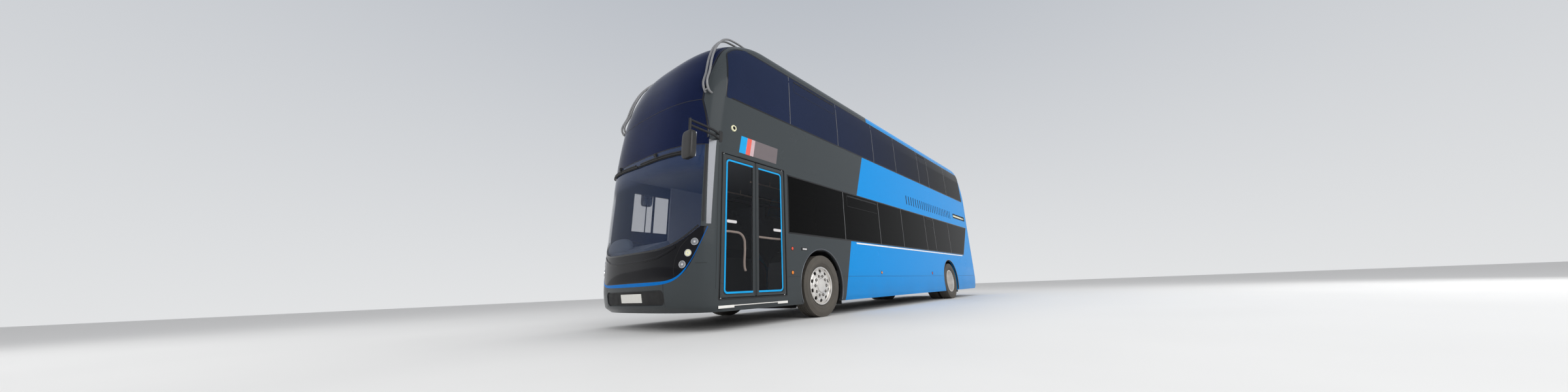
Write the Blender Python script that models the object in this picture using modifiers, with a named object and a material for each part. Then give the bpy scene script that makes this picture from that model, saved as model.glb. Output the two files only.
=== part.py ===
import math

import bmesh
import bpy
from mathutils import Matrix, Vector

# A double-decker bus. Lengths are in metres, +Z is up, the front faces -Y and the
# passenger door is on the +X (near) side. Y is measured from the front axle while the
# pieces are made, and the whole bus is moved along Y at the end to centre its box.

# Driving dimensions
BODY_WIDTH = 2.55
BODY_HEIGHT = 4.30
WHEELBASE = 6.30
FRONT_OVERHANG = 2.64
REAR_OVERHANG = 2.67
TYRE_DIAMETER = 0.96
TYRE_WIDTH = 0.275
RIM_DIAMETER = 0.572

HALF_WIDTH = BODY_WIDTH / 2
NOSE_Y = -FRONT_OVERHANG
TAIL_Y = WHEELBASE + REAR_OVERHANG
TYRE_RADIUS = TYRE_DIAMETER / 2
RIM_RADIUS = RIM_DIAMETER / 2

# General clearances
SEAT_GAP = 0.0003
HALF_GAP = SEAT_GAP / 2
MERGE = SEAT_GAP / 10
SPLINE_WEIGHT = 1
OVERRUN = 0.12

# Body levels above the road, and below the roof
SKIRT_Z = 0.22
DECK_SPLIT_Z = 2.34
LOWER_SILL_Z = 1.26
LOWER_HEAD_DROP = 0.14
ROOF_DEPTH = 0.20
UPPER_HEAD_DROP = 0.24
UPPER_WINDOW_HEIGHT = 0.96
ROOF_SPLIT_Z = BODY_HEIGHT - ROOF_DEPTH
LOWER_HEAD_Z = DECK_SPLIT_Z - LOWER_HEAD_DROP
UPPER_HEAD_Z = BODY_HEIGHT - UPPER_HEAD_DROP
UPPER_SILL_Z = UPPER_HEAD_Z - UPPER_WINDOW_HEIGHT

# Walls and glass
WALL = 0.055
GLASS = 0.006
SCREEN_GLASS = 0.012
GLASS_LAP = 0.045
PILLAR = 0.09

# How far the front and rear end panels reach along the bus
FRONT_PANEL_DEPTH = 0.44
TAIL_PANEL_DEPTH = 0.31
FRONT_SPLIT_Y = NOSE_Y + FRONT_PANEL_DEPTH
TAIL_SPLIT_Y = TAIL_Y - TAIL_PANEL_DEPTH

# Hull stations: height as a share of the body height, nose as a share of the front
# overhang, half width share, corner exponent, corner depth as a share of the half
# width, tail as a share of the rear overhang, tail corner radius share.
HULL_STATION_SHARES = (
    (0.0512, 0.932, 0.988, 2.6, 0.361, 0.914, 0.196),
    (0.0698, 0.970, 0.998, 2.7, 0.392, 0.936, 0.196),
    (0.1395, 0.992, 1.000, 2.8, 0.439, 0.974, 0.196),
    (0.2326, 1.000, 1.000, 2.8, 0.471, 0.978, 0.196),
    (0.5349, 0.992, 1.000, 2.8, 0.471, 0.985, 0.196),
    (0.7209, 0.966, 1.000, 2.8, 0.486, 1.000, 0.196),
    (0.7907, 0.943, 1.000, 2.8, 0.502, 0.985, 0.196),
    (0.8605, 0.905, 0.998, 2.8, 0.518, 0.951, 0.220),
    (0.9070, 0.871, 0.995, 2.8, 0.518, 0.921, 0.220),
    (0.9419, 0.833, 0.987, 2.8, 0.533, 0.891, 0.235),
    (0.9651, 0.795, 0.971, 2.7, 0.549, 0.861, 0.275),
    (0.9814, 0.754, 0.941, 2.6, 0.565, 0.824, 0.314),
    (0.9930, 0.701, 0.878, 2.5, 0.588, 0.749, 0.392),
    (1.0000, 0.598, 0.706, 2.4, 0.588, 0.637, 0.392),
)
CROWN_START_SHARE = 0.80
CROWN_FULL_SHARE = 0.96
FRONT_QUADRANT_POINTS = 7
TAIL_ARC_POINTS = 3
FLAT_ANGLE = math.radians(0.1)

# Passenger door, behind the front corner
DOOR_SETBACK = 0.505
DOOR_WIDTH = 1.21
DOOR_FRONT_Y = NOSE_Y + DOOR_SETBACK
DOOR_REAR_Y = DOOR_FRONT_Y + DOOR_WIDTH
DOOR_LOW_Z = 0.38
DOOR_HEAD_DROP = 0.105
DOOR_HIGH_Z = DECK_SPLIT_Z - DOOR_HEAD_DROP
DOOR_THICKNESS = 0.036
DOOR_STILE = 0.045
DOOR_RAIL = 0.05
DOOR_GLASS = 0.008
DOOR_CORNER = 0.05
DOOR_JAMB_GAP = 0.016
DOOR_MEETING_GAP = 0.012
DOOR_HINGE_INSET = 0.02
DOOR_PIN_RADIUS = 0.012
DOOR_FACE_INSET = 0.004
DOOR_THRESHOLD_GAP = 0.010

# Glazing bands along the sides
UPPER_BAND_SETBACK = 0.53
UPPER_BAND_TAIL_DEPTH = 0.40
UPPER_BAND_CORNER = 0.26
UPPER_BAND_RAKE = 0.06
LOWER_BAND_START = 0.085
LOWER_BAND_TAIL_DEPTH = 0.43
LOWER_BAND_TAPER = 0.70
UPPER_BAND_FRONT_Y = NOSE_Y + UPPER_BAND_SETBACK
UPPER_BAND_TAIL_Y = TAIL_Y - UPPER_BAND_TAIL_DEPTH
LOWER_BAND_FRONT_Y = DOOR_REAR_Y + LOWER_BAND_START
LOWER_BAND_TAIL_Y = TAIL_Y - LOWER_BAND_TAIL_DEPTH
CAB_WINDOW_SETBACK = 0.56
CAB_WINDOW_LENGTH = 0.80
CAB_WINDOW_DROP = 0.14
CAB_WINDOW_CORNER = 0.06
UPPER_DIVIDER_SHARES = (0.131, 0.268, 0.405, 0.513, 0.652, 0.719, 0.855)
LOWER_DIVIDER_SHARES = (0.173, 0.322, 0.446, 0.601, 0.671, 0.800)

# Louvres and lamp box in the nearside panel between the decks
LOUVRE_COUNT = 23
LOUVRE_FRONT_DEPTH = 5.22
LOUVRE_PITCH = 0.148
LOUVRE_WIDTH = 0.045
LOUVRE_RISE = 0.02
LOUVRE_HEIGHT = 0.23
LOUVRE_DEPTH = 0.018
LAMP_BOX_BEHIND = 0.289
LAMP_BOX_LENGTH = 1.18
LAMP_BOX_RISE = 0.08
LAMP_BOX_HEIGHT = 0.14
LAMP_BOX_DEPTH = 0.010

# Front screens and mask in the front view: how far each edge stays in from the side
SCREEN_SIDE = 0.105
SCREEN_LOW_Z = 0.965
SCREEN_CORNER_Z = 1.24
SCREEN_CURVE_POWER = 5
MASK_SIDE = 0.06
MASK_LOW_Z = 0.60
MASK_CURVE_POWER = 11
UPPER_SCREEN_SIDE = 0.175
UPPER_SCREEN_DROP = 0.08
DESTINATION_SIDE = 0.075
CURVE_POINTS = 10
SCREEN_HALF_WIDTH = HALF_WIDTH - SCREEN_SIDE
MASK_HALF_WIDTH = HALF_WIDTH - MASK_SIDE
UPPER_SCREEN_HALF_WIDTH = HALF_WIDTH - UPPER_SCREEN_SIDE
UPPER_SCREEN_LOW_Z = UPPER_SILL_Z - UPPER_SCREEN_DROP
DESTINATION_HALF_WIDTH = HALF_WIDTH - DESTINATION_SIDE

# Lamps: three on each side of the mask, stepping in as they go down, and of the tail
LAMP_COUNT = 3
FRONT_LAMP_SIDE = 0.150
FRONT_LAMP_STEP = 0.0625
FRONT_LAMP_TOP_Z = 1.05
FRONT_LAMP_PITCH = 0.1325
FRONT_LAMP_RADIUS = 0.044
REAR_LAMP_SIDE = 0.176
REAR_LAMP_TOP_Z = 0.96
REAR_LAMP_PITCH = 0.16
REAR_LAMP_RADIUS = 0.062
LAMP_PROUD = 0.008
LAMP_SEGMENTS = 14
PLATE_RECESS_HALF_WIDTH = 0.72
PLATE_RECESS_LOW_Z = 0.315
PLATE_RECESS_HIGH_Z = 0.50
PLATE_RECESS_DEPTH = 0.016
PLATE_RECESS_CORNER = 0.07

# Floors
FLOOR_TOP_Z = 0.36
FLOOR_PLATE = 0.04
REAR_FLOOR_Z = 0.74
ENGINE_DECK_Z = 1.32
REAR_FLOOR_START = 1.30
ENGINE_DECK_START = 0.95
UPPER_FLOOR_RISE = 0.06
UPPER_FLOOR_PLATE = 0.05
UPPER_FLOOR_Z = DECK_SPLIT_Z + UPPER_FLOOR_RISE
FLOOR_SETBACK = 0.22
FLOOR_FRONT_Y = NOSE_Y + FLOOR_SETBACK
ARCH_RADIUS = 0.58
ARCH_SEGMENTS = 24
WHEEL_BOX_WIDTH = 0.56
WHEEL_BOX_REACH = 0.62
WHEEL_BOX_RISE = 0.56
WHEEL_BOX_WALL = 0.02

# Chassis and axles
RAIL_CLEARANCE = 0.265
RAIL_X = HALF_WIDTH - WHEEL_BOX_WIDTH - RAIL_CLEARANCE
RAIL_WIDTH = 0.07
RAIL_DEPTH = 0.09
CROSS_WIDTH = 0.08
CROSS_SHARES = (0.02, 0.14, 0.36, 0.52, 0.71, 0.98)
JACK_PAD_LENGTH = 0.14
JACK_PAD_DEPTH = 0.015
JACK_PAD_BEHIND = 0.80
BEAM_DEPTH = 0.10
BEAM_HALF_WIDTH = 0.06
KINGPIN_OFFSET = 0.12
KINGPIN_RADIUS = 0.022
SPINDLE_RADIUS = 0.03
SPINDLE_END = 0.045
REAR_SPINDLE_RADIUS = 0.05
AXLE_TUBE_RADIUS = 0.075
DIFFERENTIAL_RADIUS = 0.19
TWIN_PITCH = 0.33
WHEEL_INSET = 0.01
BOSS_RADIUS = 0.05
BOSS_WALL = 0.02
BOSS_HALF = 0.07
EAR = 0.045
EAR_GAP = 0.006
KNUCKLE_PLATE = 0.03
ARM_REACH = 0.20
ARM_INBOARD = 0.0775
ARM_FOOT_Z = 0.19
ARM_HALF_WIDTH = 0.020
ARM_POST_RADIUS = 0.022
ROD_EYE = 0.036
ROD_RADIUS = 0.016

# Tyre and wheel sections: depth below the tread as a share of the section height with the
# half width share, and wheel faces as shares of the rim radius and of the half width.
TYRE_BEAD = 0.018
TYRE_BEAD_SHARE = 0.63
TYRE_SIDE_SHARES = ((0.62, 1.0), (0.28, 0.99), (0.06, 0.88), (0.0, 0.70))
RIM_HALF_SHARE = 0.80
RIM_FLANGE = 0.014
RIM_LIP = 0.012
RIM_STEP = 0.002
RIM_WALL = 0.022
DISC_THICKNESS = 0.022
FRONT_FACE_SHARES = ((0, 1.32), (0.21, 1.27), (0.27, 0.98), (0.44, 0.82), (0.48, 0.68), (0.70, 0.82),
                     (0.83, 0.73), (0.92, 0.59))
HUB_CAP_POINTS = 3
HUB_RADIUS = 0.12
HUB_BACK = -0.005
REAR_HUB_SHARES = ((0, 1.03), (0.30, 1.03), (0.35, 0.67), (0.44, 0.18), (0.80, 0.12))
HAND_HOLE_COUNT = 10
HAND_HOLE_RADIUS = 0.022
HAND_HOLE_SHARE = 0.80
REAR_HAND_HOLE_SHARE = 0.64
HAND_HOLE_SIDES = 6

# Resolution of round parts
TYRE_SEGMENTS = 24
WHEEL_SEGMENTS = TYRE_SEGMENTS
TUBE_RESOLUTION = 2
BOSS_SEGMENTS = 18
PIN_SEGMENTS = 12

WHEEL_X = HALF_WIDTH - TYRE_WIDTH / 2 - WHEEL_INSET
KINGPIN_X = WHEEL_X - KINGPIN_OFFSET
REAR_WHEEL_X = WHEEL_X - TWIN_PITCH / 2

# Interior
SEAT_WIDTH = 0.86
SEAT_PITCH = 0.80
SEAT_HEIGHT = 0.45
SEAT_BACK_HEIGHT = 1.05
SEAT_CUSHION = 0.10
SEAT_DEPTH = 0.44
SEAT_BACK = 0.08
SEAT_LEG = 0.10
SEAT_TRACK = 0.03
SEAT_SIDE_GAP = 0.02
LOWER_SEAT_START = 3.59
UPPER_SEAT_START = 0.94
STAIR_WIDTH = 0.62
STAIR_FOOT = 4.69
STAIR_STEPS = 8
STAIR_TREAD = 0.25
STAIR_THICKNESS = 0.14
PARTITION = 0.03
PARTITION_START = 1.39
CAB_WIDTH = 0.86
DASH_TOP_Z = 1.16
DASH_DEPTH = 0.34
DASH_NEARSIDE_X = 0.255
STEERING_RADIUS = 0.225
STEERING_TUBE = 0.014
STEERING_SPOKE = 0.010
STEERING_HUB_RADIUS = 0.05
STEERING_HUB_HALF = 0.024
STEERING_TILT = math.radians(28)
STEERING_SEGMENTS = 20
STEERING_SIDES = 6
COLUMN_RADIUS = 0.025
COLUMN_LENGTH = 0.22
COLUMN_BEHIND = 0.16
COLUMN_DROP = 0.02
DRIVER_SIDE = 0.495
LOWER_SEAT_FRONT_Y = NOSE_Y + LOWER_SEAT_START
UPPER_SEAT_FRONT_Y = NOSE_Y + UPPER_SEAT_START
STAIR_FOOT_Y = NOSE_Y + STAIR_FOOT
PARTITION_Y = NOSE_Y + PARTITION_START
DRIVER_X = DRIVER_SIDE - HALF_WIDTH
CAB_SIDE_X = WALL + CAB_WIDTH - HALF_WIDTH

# Engine and rear end
ENGINE_WIDTH = 1.04
ENGINE_LENGTH = 0.95
ENGINE_HEIGHT = 0.50
COVER_SIDE = 0.355
COVER_LOW_Z = 0.46
COVER_HIGH_Z = 1.50
REAR_WINDOW_RISE = 0.06
REAR_WINDOW_DROP = 0.12
COVER_HALF_WIDTH = HALF_WIDTH - COVER_SIDE
REAR_WINDOW_LOW_Z = UPPER_SILL_Z + REAR_WINDOW_RISE
REAR_WINDOW_HIGH_Z = UPPER_HEAD_Z - REAR_WINDOW_DROP
LID_GAP = 0.008
LID_CORNER = 0.07
LID_HINGE_PROUD = 0.016
LID_BARREL_RADIUS = 0.010
LID_BARREL_LENGTH = 0.06
LID_STRAP = 0.04
LID_HINGE_SHARE = 0.70

# Mirrors: where each arm leaves the corner and where its head hangs, measured from the
# side, the nose and the split between the decks
MIRROR_REACH = 0.185
MIRROR_HEAD_WIDTH = 0.20
MIRROR_HEAD_DEPTH = 0.10
MIRROR_HEAD_HEIGHT = 0.36
MIRROR_HEAD_DROP = 0.17
MIRROR_LEAD = 0.10
MIRROR_TUBE = 0.012
MIRROR_POST = 0.016
MIRROR_TUBE_PITCH = 0.07
MIRROR_FOOT_SINK = 0.03
MIRROR_FOOT_SETBACK = 0.49
MIRROR_FOOT_RISE = 0.09
MIRROR_ARM_OUT = 0.09
MIRROR_BOX = 0.09
FOLDED_FOOT_SETBACK = 0.66
FOLDED_HEAD_SETBACK = 0.94

# Guard rails over the upper front corners, as shares of the half width, of the front
# overhang and of the body height, and the wipers parked across the top of the screen
GUARD_SHARES = ((0.894, 0.833, 0.728), (0.933, 0.894, 0.735), (0.910, 0.879, 0.814), (0.878, 0.845, 0.895),
                (0.839, 0.795, 0.953), (0.800, 0.727, 0.995), (0.769, 0.644, 1.014), (0.753, 0.549, 1.016),
                (0.745, 0.477, 1.012), (0.745, 0.462, 0.981))
GUARD_TUBE = 0.017
GUARD_PITCH = 0.085
WIPER_TUBE = 0.013
WIPER_DROP = 0.115
WIPER_STAND = 0.035
WIPER_HALF_WIDTH = 0.85
WIPER_OFFSET = 0.08
WIPER_BOSS_RADIUS = 0.028

SIDES = (("nearside", 1), ("offside", -1))

parts = bpy.data.collections.new("double_decker_bus")
cutters = bpy.data.collections.new("cutters")


def clear_scene():
    for obj in list(bpy.data.objects):
        bpy.data.objects.remove(obj, do_unlink=True)
    bpy.context.scene.collection.children.link(parts)
    bpy.context.scene.collection.children.link(cutters)


def material(name, colour, roughness, metallic=0.0, alpha=1.0):
    made = bpy.data.materials.new(name)
    made.use_nodes = True
    shader = made.node_tree.nodes["Principled BSDF"]
    shader.inputs["Base Color"].default_value = (*colour, 1)
    shader.inputs["Roughness"].default_value = roughness
    shader.inputs["Metallic"].default_value = metallic
    shader.inputs["Alpha"].default_value = alpha
    return made


def place(name, mesh, finish=None):
    # A piece has a finish; an object without one is a cutter or a guide.
    obj = bpy.data.objects.new(name, mesh)
    if finish:
        parts.objects.link(obj)
        obj.data.materials.append(finish)
    else:
        cutters.objects.link(obj)
        obj.hide_render = True
        obj.display_type = "WIRE"
    return obj


def mesh_from(bm, name):
    mesh = bpy.data.meshes.new(name)
    bm.to_mesh(mesh)
    bm.free()
    return mesh


def add_box(bm, low, high):
    size = Vector(high) - Vector(low)
    centre = (Vector(high) + Vector(low)) / 2
    matrix = Matrix.Translation(centre) @ Matrix.Diagonal((*size, 1))
    bmesh.ops.create_cube(bm, size=1, matrix=matrix)


def boxes(name, corners, finish=None):
    bm = bmesh.new()
    for low, high in corners:
        add_box(bm, low, high)
    return place(name, mesh_from(bm, name), finish)


def cylinder(name, radius, start, end, segments, finish=None):
    start, end = Vector(start), Vector(end)
    turn = (end - start).to_track_quat("Z", "Y").to_matrix().to_4x4()
    bm = bmesh.new()
    bmesh.ops.create_cone(bm, cap_ends=True, segments=segments, radius1=radius, radius2=radius,
                          depth=(end - start).length,
                          matrix=Matrix.Translation((start + end) / 2) @ turn)
    return place(name, mesh_from(bm, name), finish)


AXIS_TURN = {
    "X": Matrix(((0, 0, 1, 0), (1, 0, 0, 0), (0, 1, 0, 0), (0, 0, 0, 1))),
    "Y": Matrix(((1, 0, 0, 0), (0, 0, -1, 0), (0, 1, 0, 0), (0, 0, 0, 1))),
    "Z": Matrix.Identity(4),
}


def curve_mesh(curve, name, matrix):
    guide = bpy.data.objects.new(name, curve)
    cutters.objects.link(guide)
    bpy.context.view_layer.update()
    graph = bpy.context.evaluated_depsgraph_get()
    mesh = bpy.data.meshes.new_from_object(guide.evaluated_get(graph))
    bpy.data.objects.remove(guide)
    bm = bmesh.new()
    bm.from_mesh(mesh)
    bmesh.ops.remove_doubles(bm, verts=bm.verts, dist=MERGE)
    bmesh.ops.transform(bm, matrix=matrix, verts=bm.verts)
    bmesh.ops.recalc_face_normals(bm, faces=bm.faces)
    bm.to_mesh(mesh)
    bm.free()
    return mesh


def prism(name, outline, axis, low, high, finish=None):
    # The outline lies across the axis: (y, z) for X, (x, z) for Y and (x, y) for Z.
    curve = bpy.data.curves.new(name, "CURVE")
    curve.dimensions = "2D"
    curve.fill_mode = "BOTH"
    curve.extrude = (high - low) / 2
    spline = curve.splines.new("POLY")
    spline.points.add(len(outline) - 1)
    for point, (across, up) in zip(spline.points, outline):
        point.co = (across, up, 0, SPLINE_WEIGHT)
    spline.use_cyclic_u = True
    middle = (low + high) / 2
    if axis == "Y":
        middle = -middle
    matrix = AXIS_TURN[axis] @ Matrix.Translation((0, 0, middle))
    return place(name, curve_mesh(curve, name, matrix), finish)


def tube(name, points, radius, finish=None):
    curve = bpy.data.curves.new(name, "CURVE")
    curve.dimensions = "3D"
    curve.bevel_depth = radius
    curve.bevel_resolution = TUBE_RESOLUTION
    curve.use_fill_caps = True
    spline = curve.splines.new("POLY")
    spline.points.add(len(points) - 1)
    for point, spot in zip(spline.points, points):
        point.co = (*spot, 1)
    return place(name, curve_mesh(curve, name, Matrix.Identity(4)), finish)


def turned(name, profile, segments, finish=None):
    # The profile is (radius, height) from the top, down its outer side.
    bm = bmesh.new()
    verts = [bm.verts.new((radius, 0, height)) for radius, height in profile]
    for first, second in zip(verts, verts[1:]):
        bm.edges.new((first, second))
    if profile[0][0] or profile[-1][0]:
        bm.edges.new((verts[-1], verts[0]))
    obj = place(name, mesh_from(bm, name), finish)
    screw = obj.modifiers.new("turn", "SCREW")
    screw.steps = segments
    screw.render_steps = segments
    screw.use_merge_vertices = True
    screw.merge_threshold = MERGE
    screw.use_normal_calculate = False
    return obj


def combine(obj, other, operation):
    step = obj.modifiers.new(operation.lower(), "BOOLEAN")
    step.operation = operation
    step.object = other
    step.solver = "EXACT"
    return obj


def cut(obj, *others):
    for other in others:
        combine(obj, other, "DIFFERENCE")
    return obj


def keep(obj, *others):
    for other in others:
        combine(obj, other, "INTERSECT")
    return obj


def join(obj, *others):
    for other in others:
        combine(obj, other, "UNION")
    return obj


def flatten(obj):
    # Flat faces that the Booleans split are merged again.
    step = obj.modifiers.new("flat_faces", "DECIMATE")
    step.decimate_type = "DISSOLVE"
    step.angle_limit = FLAT_ANGLE
    return obj


def arc(centre, radius, start, end, count):
    points = []
    for step in range(count + 1):
        angle = math.radians(start + (end - start) * step / count)
        points.append((centre[0] + radius * math.cos(angle), centre[1] + radius * math.sin(angle)))
    return points


def rounded_rectangle(left, right, low, high, radius, count=4):
    points = arc((right - radius, high - radius), radius, 90, 0, count)
    points += arc((right - radius, low + radius), radius, 0, -90, count)
    points += arc((left + radius, low + radius), radius, -90, -180, count)
    points += arc((left + radius, high - radius), radius, 180, 90, count)
    return points


def hull_ring(station, inset):
    height, nose, width, power, depth, tail, corner = station
    crown = min(1, max(0, (height - CROWN_START_SHARE) / (CROWN_FULL_SHARE - CROWN_START_SHARE)))
    z = height * BODY_HEIGHT - inset * crown
    half = width * HALF_WIDTH - inset
    front = -nose * FRONT_OVERHANG + inset
    rear = WHEELBASE + tail * REAR_OVERHANG - inset
    depth = depth * HALF_WIDTH - inset
    radius = corner * HALF_WIDTH - inset
    side = []
    for step in range(1, FRONT_QUADRANT_POINTS + 1):
        angle = math.pi / 2 * step / FRONT_QUADRANT_POINTS
        x = half * math.sin(angle) ** (2 / power)
        y = front + depth * (1 - math.cos(angle) ** (2 / power))
        side.append((x, y))
    side += arc((half - radius, rear - radius), radius, 0, 90, TAIL_ARC_POINTS)
    ring = [(0, front)] + side + [(0, rear)] + [(-x, y) for x, y in reversed(side)]
    return [Vector((x, y, z)) for x, y in ring]


def hull(name, inset):
    rings = [hull_ring(station, inset) for station in HULL_STATION_SHARES]
    low = Vector((0, 0, OVERRUN if inset > 0 else 0))
    rings.insert(0, [spot - low for spot in rings[0]])
    if not inset > 0:
        rings.pop(0)
    bm = bmesh.new()
    made = [[bm.verts.new(spot) for spot in ring] for ring in rings]
    for lower, upper in zip(made, made[1:]):
        for step in range(len(lower)):
            following = (step + 1) % len(lower)
            bm.faces.new((lower[step], lower[following], upper[following], upper[step]))
    bm.faces.new(reversed(made[0]))
    bm.faces.new(made[-1])
    bmesh.ops.triangulate(bm, faces=bm.faces)
    bmesh.ops.recalc_face_normals(bm, faces=bm.faces)
    return place(name, mesh_from(bm, name))


def screen_curve(half, low, corner, power):
    points = []
    for step in range(-CURVE_POINTS, CURVE_POINTS + 1):
        share = math.sin(math.pi / 2 * step / CURVE_POINTS)
        points.append((half * share, low + (corner - low) * abs(share) ** power))
    return points


clear_scene()
BODY_GREY = material("body_grey", (0.05, 0.055, 0.055), 0.25, 0.3)
BODY_BLUE = material("body_blue", (0.0, 0.33, 0.82), 0.3)
BLACK_GLOSS = material("black_gloss", (0.01, 0.01, 0.012), 0.1)
TINTED_GLASS = material("tinted_glass", (0.03, 0.035, 0.05), 0.05, 0.0, 0.5)
ALLOY = material("alloy", (0.75, 0.74, 0.72), 0.25, 1.0)
RUBBER = material("rubber", (0.02, 0.02, 0.02), 0.8)
STEEL = material("steel", (0.12, 0.12, 0.12), 0.5, 0.6)
TRIM = material("trim", (0.25, 0.26, 0.28), 0.6)
FABRIC = material("seat_fabric", (0.05, 0.09, 0.25), 0.9)
FLOOR_VINYL = material("floor_vinyl", (0.18, 0.18, 0.19), 0.7)
RAIL_GREY = material("rail_grey", (0.30, 0.30, 0.31), 0.35, 0.5)

OUTER = hull("hull_outer", 0)
INNER = hull("hull_inner", WALL)
LINING = hull("hull_lining", WALL + SEAT_GAP)
GLASS_BACK = hull("hull_glass_back", GLASS)
REBATE_BACK = hull("hull_rebate_back", GLASS + SEAT_GAP)
SCREEN_BACK = hull("hull_screen_back", SCREEN_GLASS)
PROUD = hull("hull_proud", -SEAT_GAP)
LAMP_FACE = hull("hull_lamp_face", -LAMP_PROUD)
RECESS_BACK = hull("hull_recess_back", PLATE_RECESS_DEPTH)
OUT_X = HALF_WIDTH + OVERRUN
IN_X = HALF_WIDTH - 2 * OVERRUN
FAR_FRONT_Y = NOSE_Y - OVERRUN
FAR_TAIL_Y = TAIL_Y + OVERRUN
BELOW_Z = SKIRT_Z - OVERRUN
ABOVE_Z = BODY_HEIGHT + OVERRUN


def band_outline(deck, grow):
    # The side glazing band of one deck, in the side view, grown by a small gap.
    if deck == "upper":
        low, high = UPPER_SILL_Z - grow, UPPER_HEAD_Z + grow
        front, tail = UPPER_BAND_FRONT_Y - grow, UPPER_BAND_TAIL_Y + grow
        corner = arc((front + UPPER_BAND_RAKE + UPPER_BAND_CORNER, high - UPPER_BAND_CORNER),
                     UPPER_BAND_CORNER, 175, 90, 5)
        rear = arc((tail - UPPER_BAND_RAKE - UPPER_BAND_CORNER / 2, high - UPPER_BAND_CORNER / 2),
                   UPPER_BAND_CORNER / 2, 90, 5, 4)
        return [(front, low)] + corner + rear + [(tail, low)]
    low, high = LOWER_SILL_Z - grow, LOWER_HEAD_Z + grow
    front, tail = LOWER_BAND_FRONT_Y - grow, LOWER_BAND_TAIL_Y + grow
    return [(front, low), (front, high), (tail, high), (tail - LOWER_BAND_TAPER, low)]


def side_limits(side, near, far):
    return (near, far) if side > 0 else (-far, -near)


def bay_openings(name, deck, side):
    # The window openings between the pillars, behind the glass.
    if deck == "upper":
        low, high = UPPER_SILL_Z + GLASS_LAP, UPPER_HEAD_Z - GLASS_LAP
        front, tail = UPPER_BAND_FRONT_Y, UPPER_BAND_TAIL_Y
        shares, ends = UPPER_DIVIDER_SHARES, (UPPER_BAND_CORNER, UPPER_BAND_CORNER)
    else:
        low, high = LOWER_SILL_Z + GLASS_LAP, LOWER_HEAD_Z - GLASS_LAP
        front, tail = LOWER_BAND_FRONT_Y, LOWER_BAND_TAIL_Y
        shares, ends = LOWER_DIVIDER_SHARES, (PILLAR, LOWER_BAND_TAPER)
    near, far = side_limits(side, IN_X, OUT_X)
    places = [front + share * (tail - front) for share in shares]
    starts = [front + ends[0] - PILLAR / 2] + places
    stops = places + [tail - ends[1] + PILLAR / 2]
    corners = []
    for start, stop in zip(starts, stops):
        corners.append(((near, start + PILLAR / 2, low), (far, stop - PILLAR / 2, high)))
    return boxes(name, corners)


def side_glass(name, deck, side):
    near, far = side_limits(side, IN_X, OUT_X)
    glass = prism(name, band_outline(deck, 0), "X", near, far, TINTED_GLASS)
    return cut(keep(glass, OUTER), GLASS_BACK)


def rebate(name, deck, side):
    near, far = side_limits(side, IN_X, OUT_X)
    return cut(prism(name, band_outline(deck, SEAT_GAP), "X", near, far), REBATE_BACK)


def cab_window_block(name, grow, finish=None):
    # The driver's side window, in the offside panel ahead of the glazing band.
    near, far = side_limits(-1, IN_X, OUT_X)
    front = NOSE_Y + CAB_WINDOW_SETBACK
    outline = rounded_rectangle(front - grow, front + CAB_WINDOW_LENGTH + grow,
                                LOWER_SILL_Z - CAB_WINDOW_DROP - grow, LOWER_HEAD_Z + grow,
                                CAB_WINDOW_CORNER + grow)
    return prism(name, outline, "X", near, far, finish)


def cab_window(panel):
    cut(panel, cut(cab_window_block("cab_window_rebate", SEAT_GAP), REBATE_BACK),
        cab_window_block("cab_window_opening", -GLASS_LAP))
    cut(keep(cab_window_block("cab_window", 0, TINTED_GLASS), OUTER), GLASS_BACK)


def arch_cutter(name, y, side, radius):
    near, far = side_limits(side, IN_X, OUT_X)
    return cylinder(name, radius, (near, y, TYRE_RADIUS), (far, y, TYRE_RADIUS), ARCH_SEGMENTS)


def lower_side(name, side, finish):
    near, far = side_limits(side, IN_X, OUT_X)
    panel = boxes(name, [((near, FRONT_SPLIT_Y + HALF_GAP, BELOW_Z),
                          (far, TAIL_SPLIT_Y - HALF_GAP, DECK_SPLIT_Z - HALF_GAP))], finish)
    cut(keep(panel, OUTER), INNER)
    cut(panel, rebate(name + "_rebate", "lower", side), bay_openings(name + "_bays", "lower", side))
    cut(panel, arch_cutter(name + "_front_arch", 0, side, ARCH_RADIUS),
        arch_cutter(name + "_rear_arch", WHEELBASE, side, ARCH_RADIUS))
    if side > 0:
        cut(panel, boxes(name + "_doorway", [((near, DOOR_FRONT_Y - DOOR_JAMB_GAP,
                                               DOOR_LOW_Z - DOOR_THRESHOLD_GAP),
                                              (far, DOOR_REAR_Y + DOOR_JAMB_GAP,
                                               DOOR_HIGH_Z + DOOR_THRESHOLD_GAP))]))
    else:
        cab_window(panel)


def front_glass_outline(grow):
    # The destination glass and upper screen together, in the front view.
    half, wide = UPPER_SCREEN_HALF_WIDTH + grow, DESTINATION_HALF_WIDTH + grow
    low, middle, high = DECK_SPLIT_Z - OVERRUN, UPPER_SCREEN_LOW_Z, ROOF_SPLIT_Z + OVERRUN
    right = [(half, high), (half, middle + grow)]
    for step in range(1, 5):
        share = step / 4
        right.append((half + (wide - half) * math.sin(math.pi / 2 * share),
                      middle + (DECK_SPLIT_Z + PILLAR - middle) * share))
    right.append((wide, low))
    return right + [(-x, z) for x, z in reversed(right)]


def louvres_and_lamp_box():
    # Shallow pockets in the outer face of the nearside panel, behind the livery's edge.
    low = DECK_SPLIT_Z + LOUVRE_RISE
    pockets = []
    for index in range(LOUVRE_COUNT):
        y = TAIL_Y - LOUVRE_FRONT_DEPTH + index * LOUVRE_PITCH
        pockets.append(((HALF_WIDTH - LOUVRE_DEPTH, y, low), (OUT_X, y + LOUVRE_WIDTH, low + LOUVRE_HEIGHT)))
    y += LOUVRE_WIDTH + LAMP_BOX_BEHIND
    low = DECK_SPLIT_Z + LAMP_BOX_RISE
    pockets.append(((HALF_WIDTH - LAMP_BOX_DEPTH, y, low),
                    (OUT_X, y + LAMP_BOX_LENGTH, low + LAMP_BOX_HEIGHT)))
    return boxes("louvres", pockets)


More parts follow.
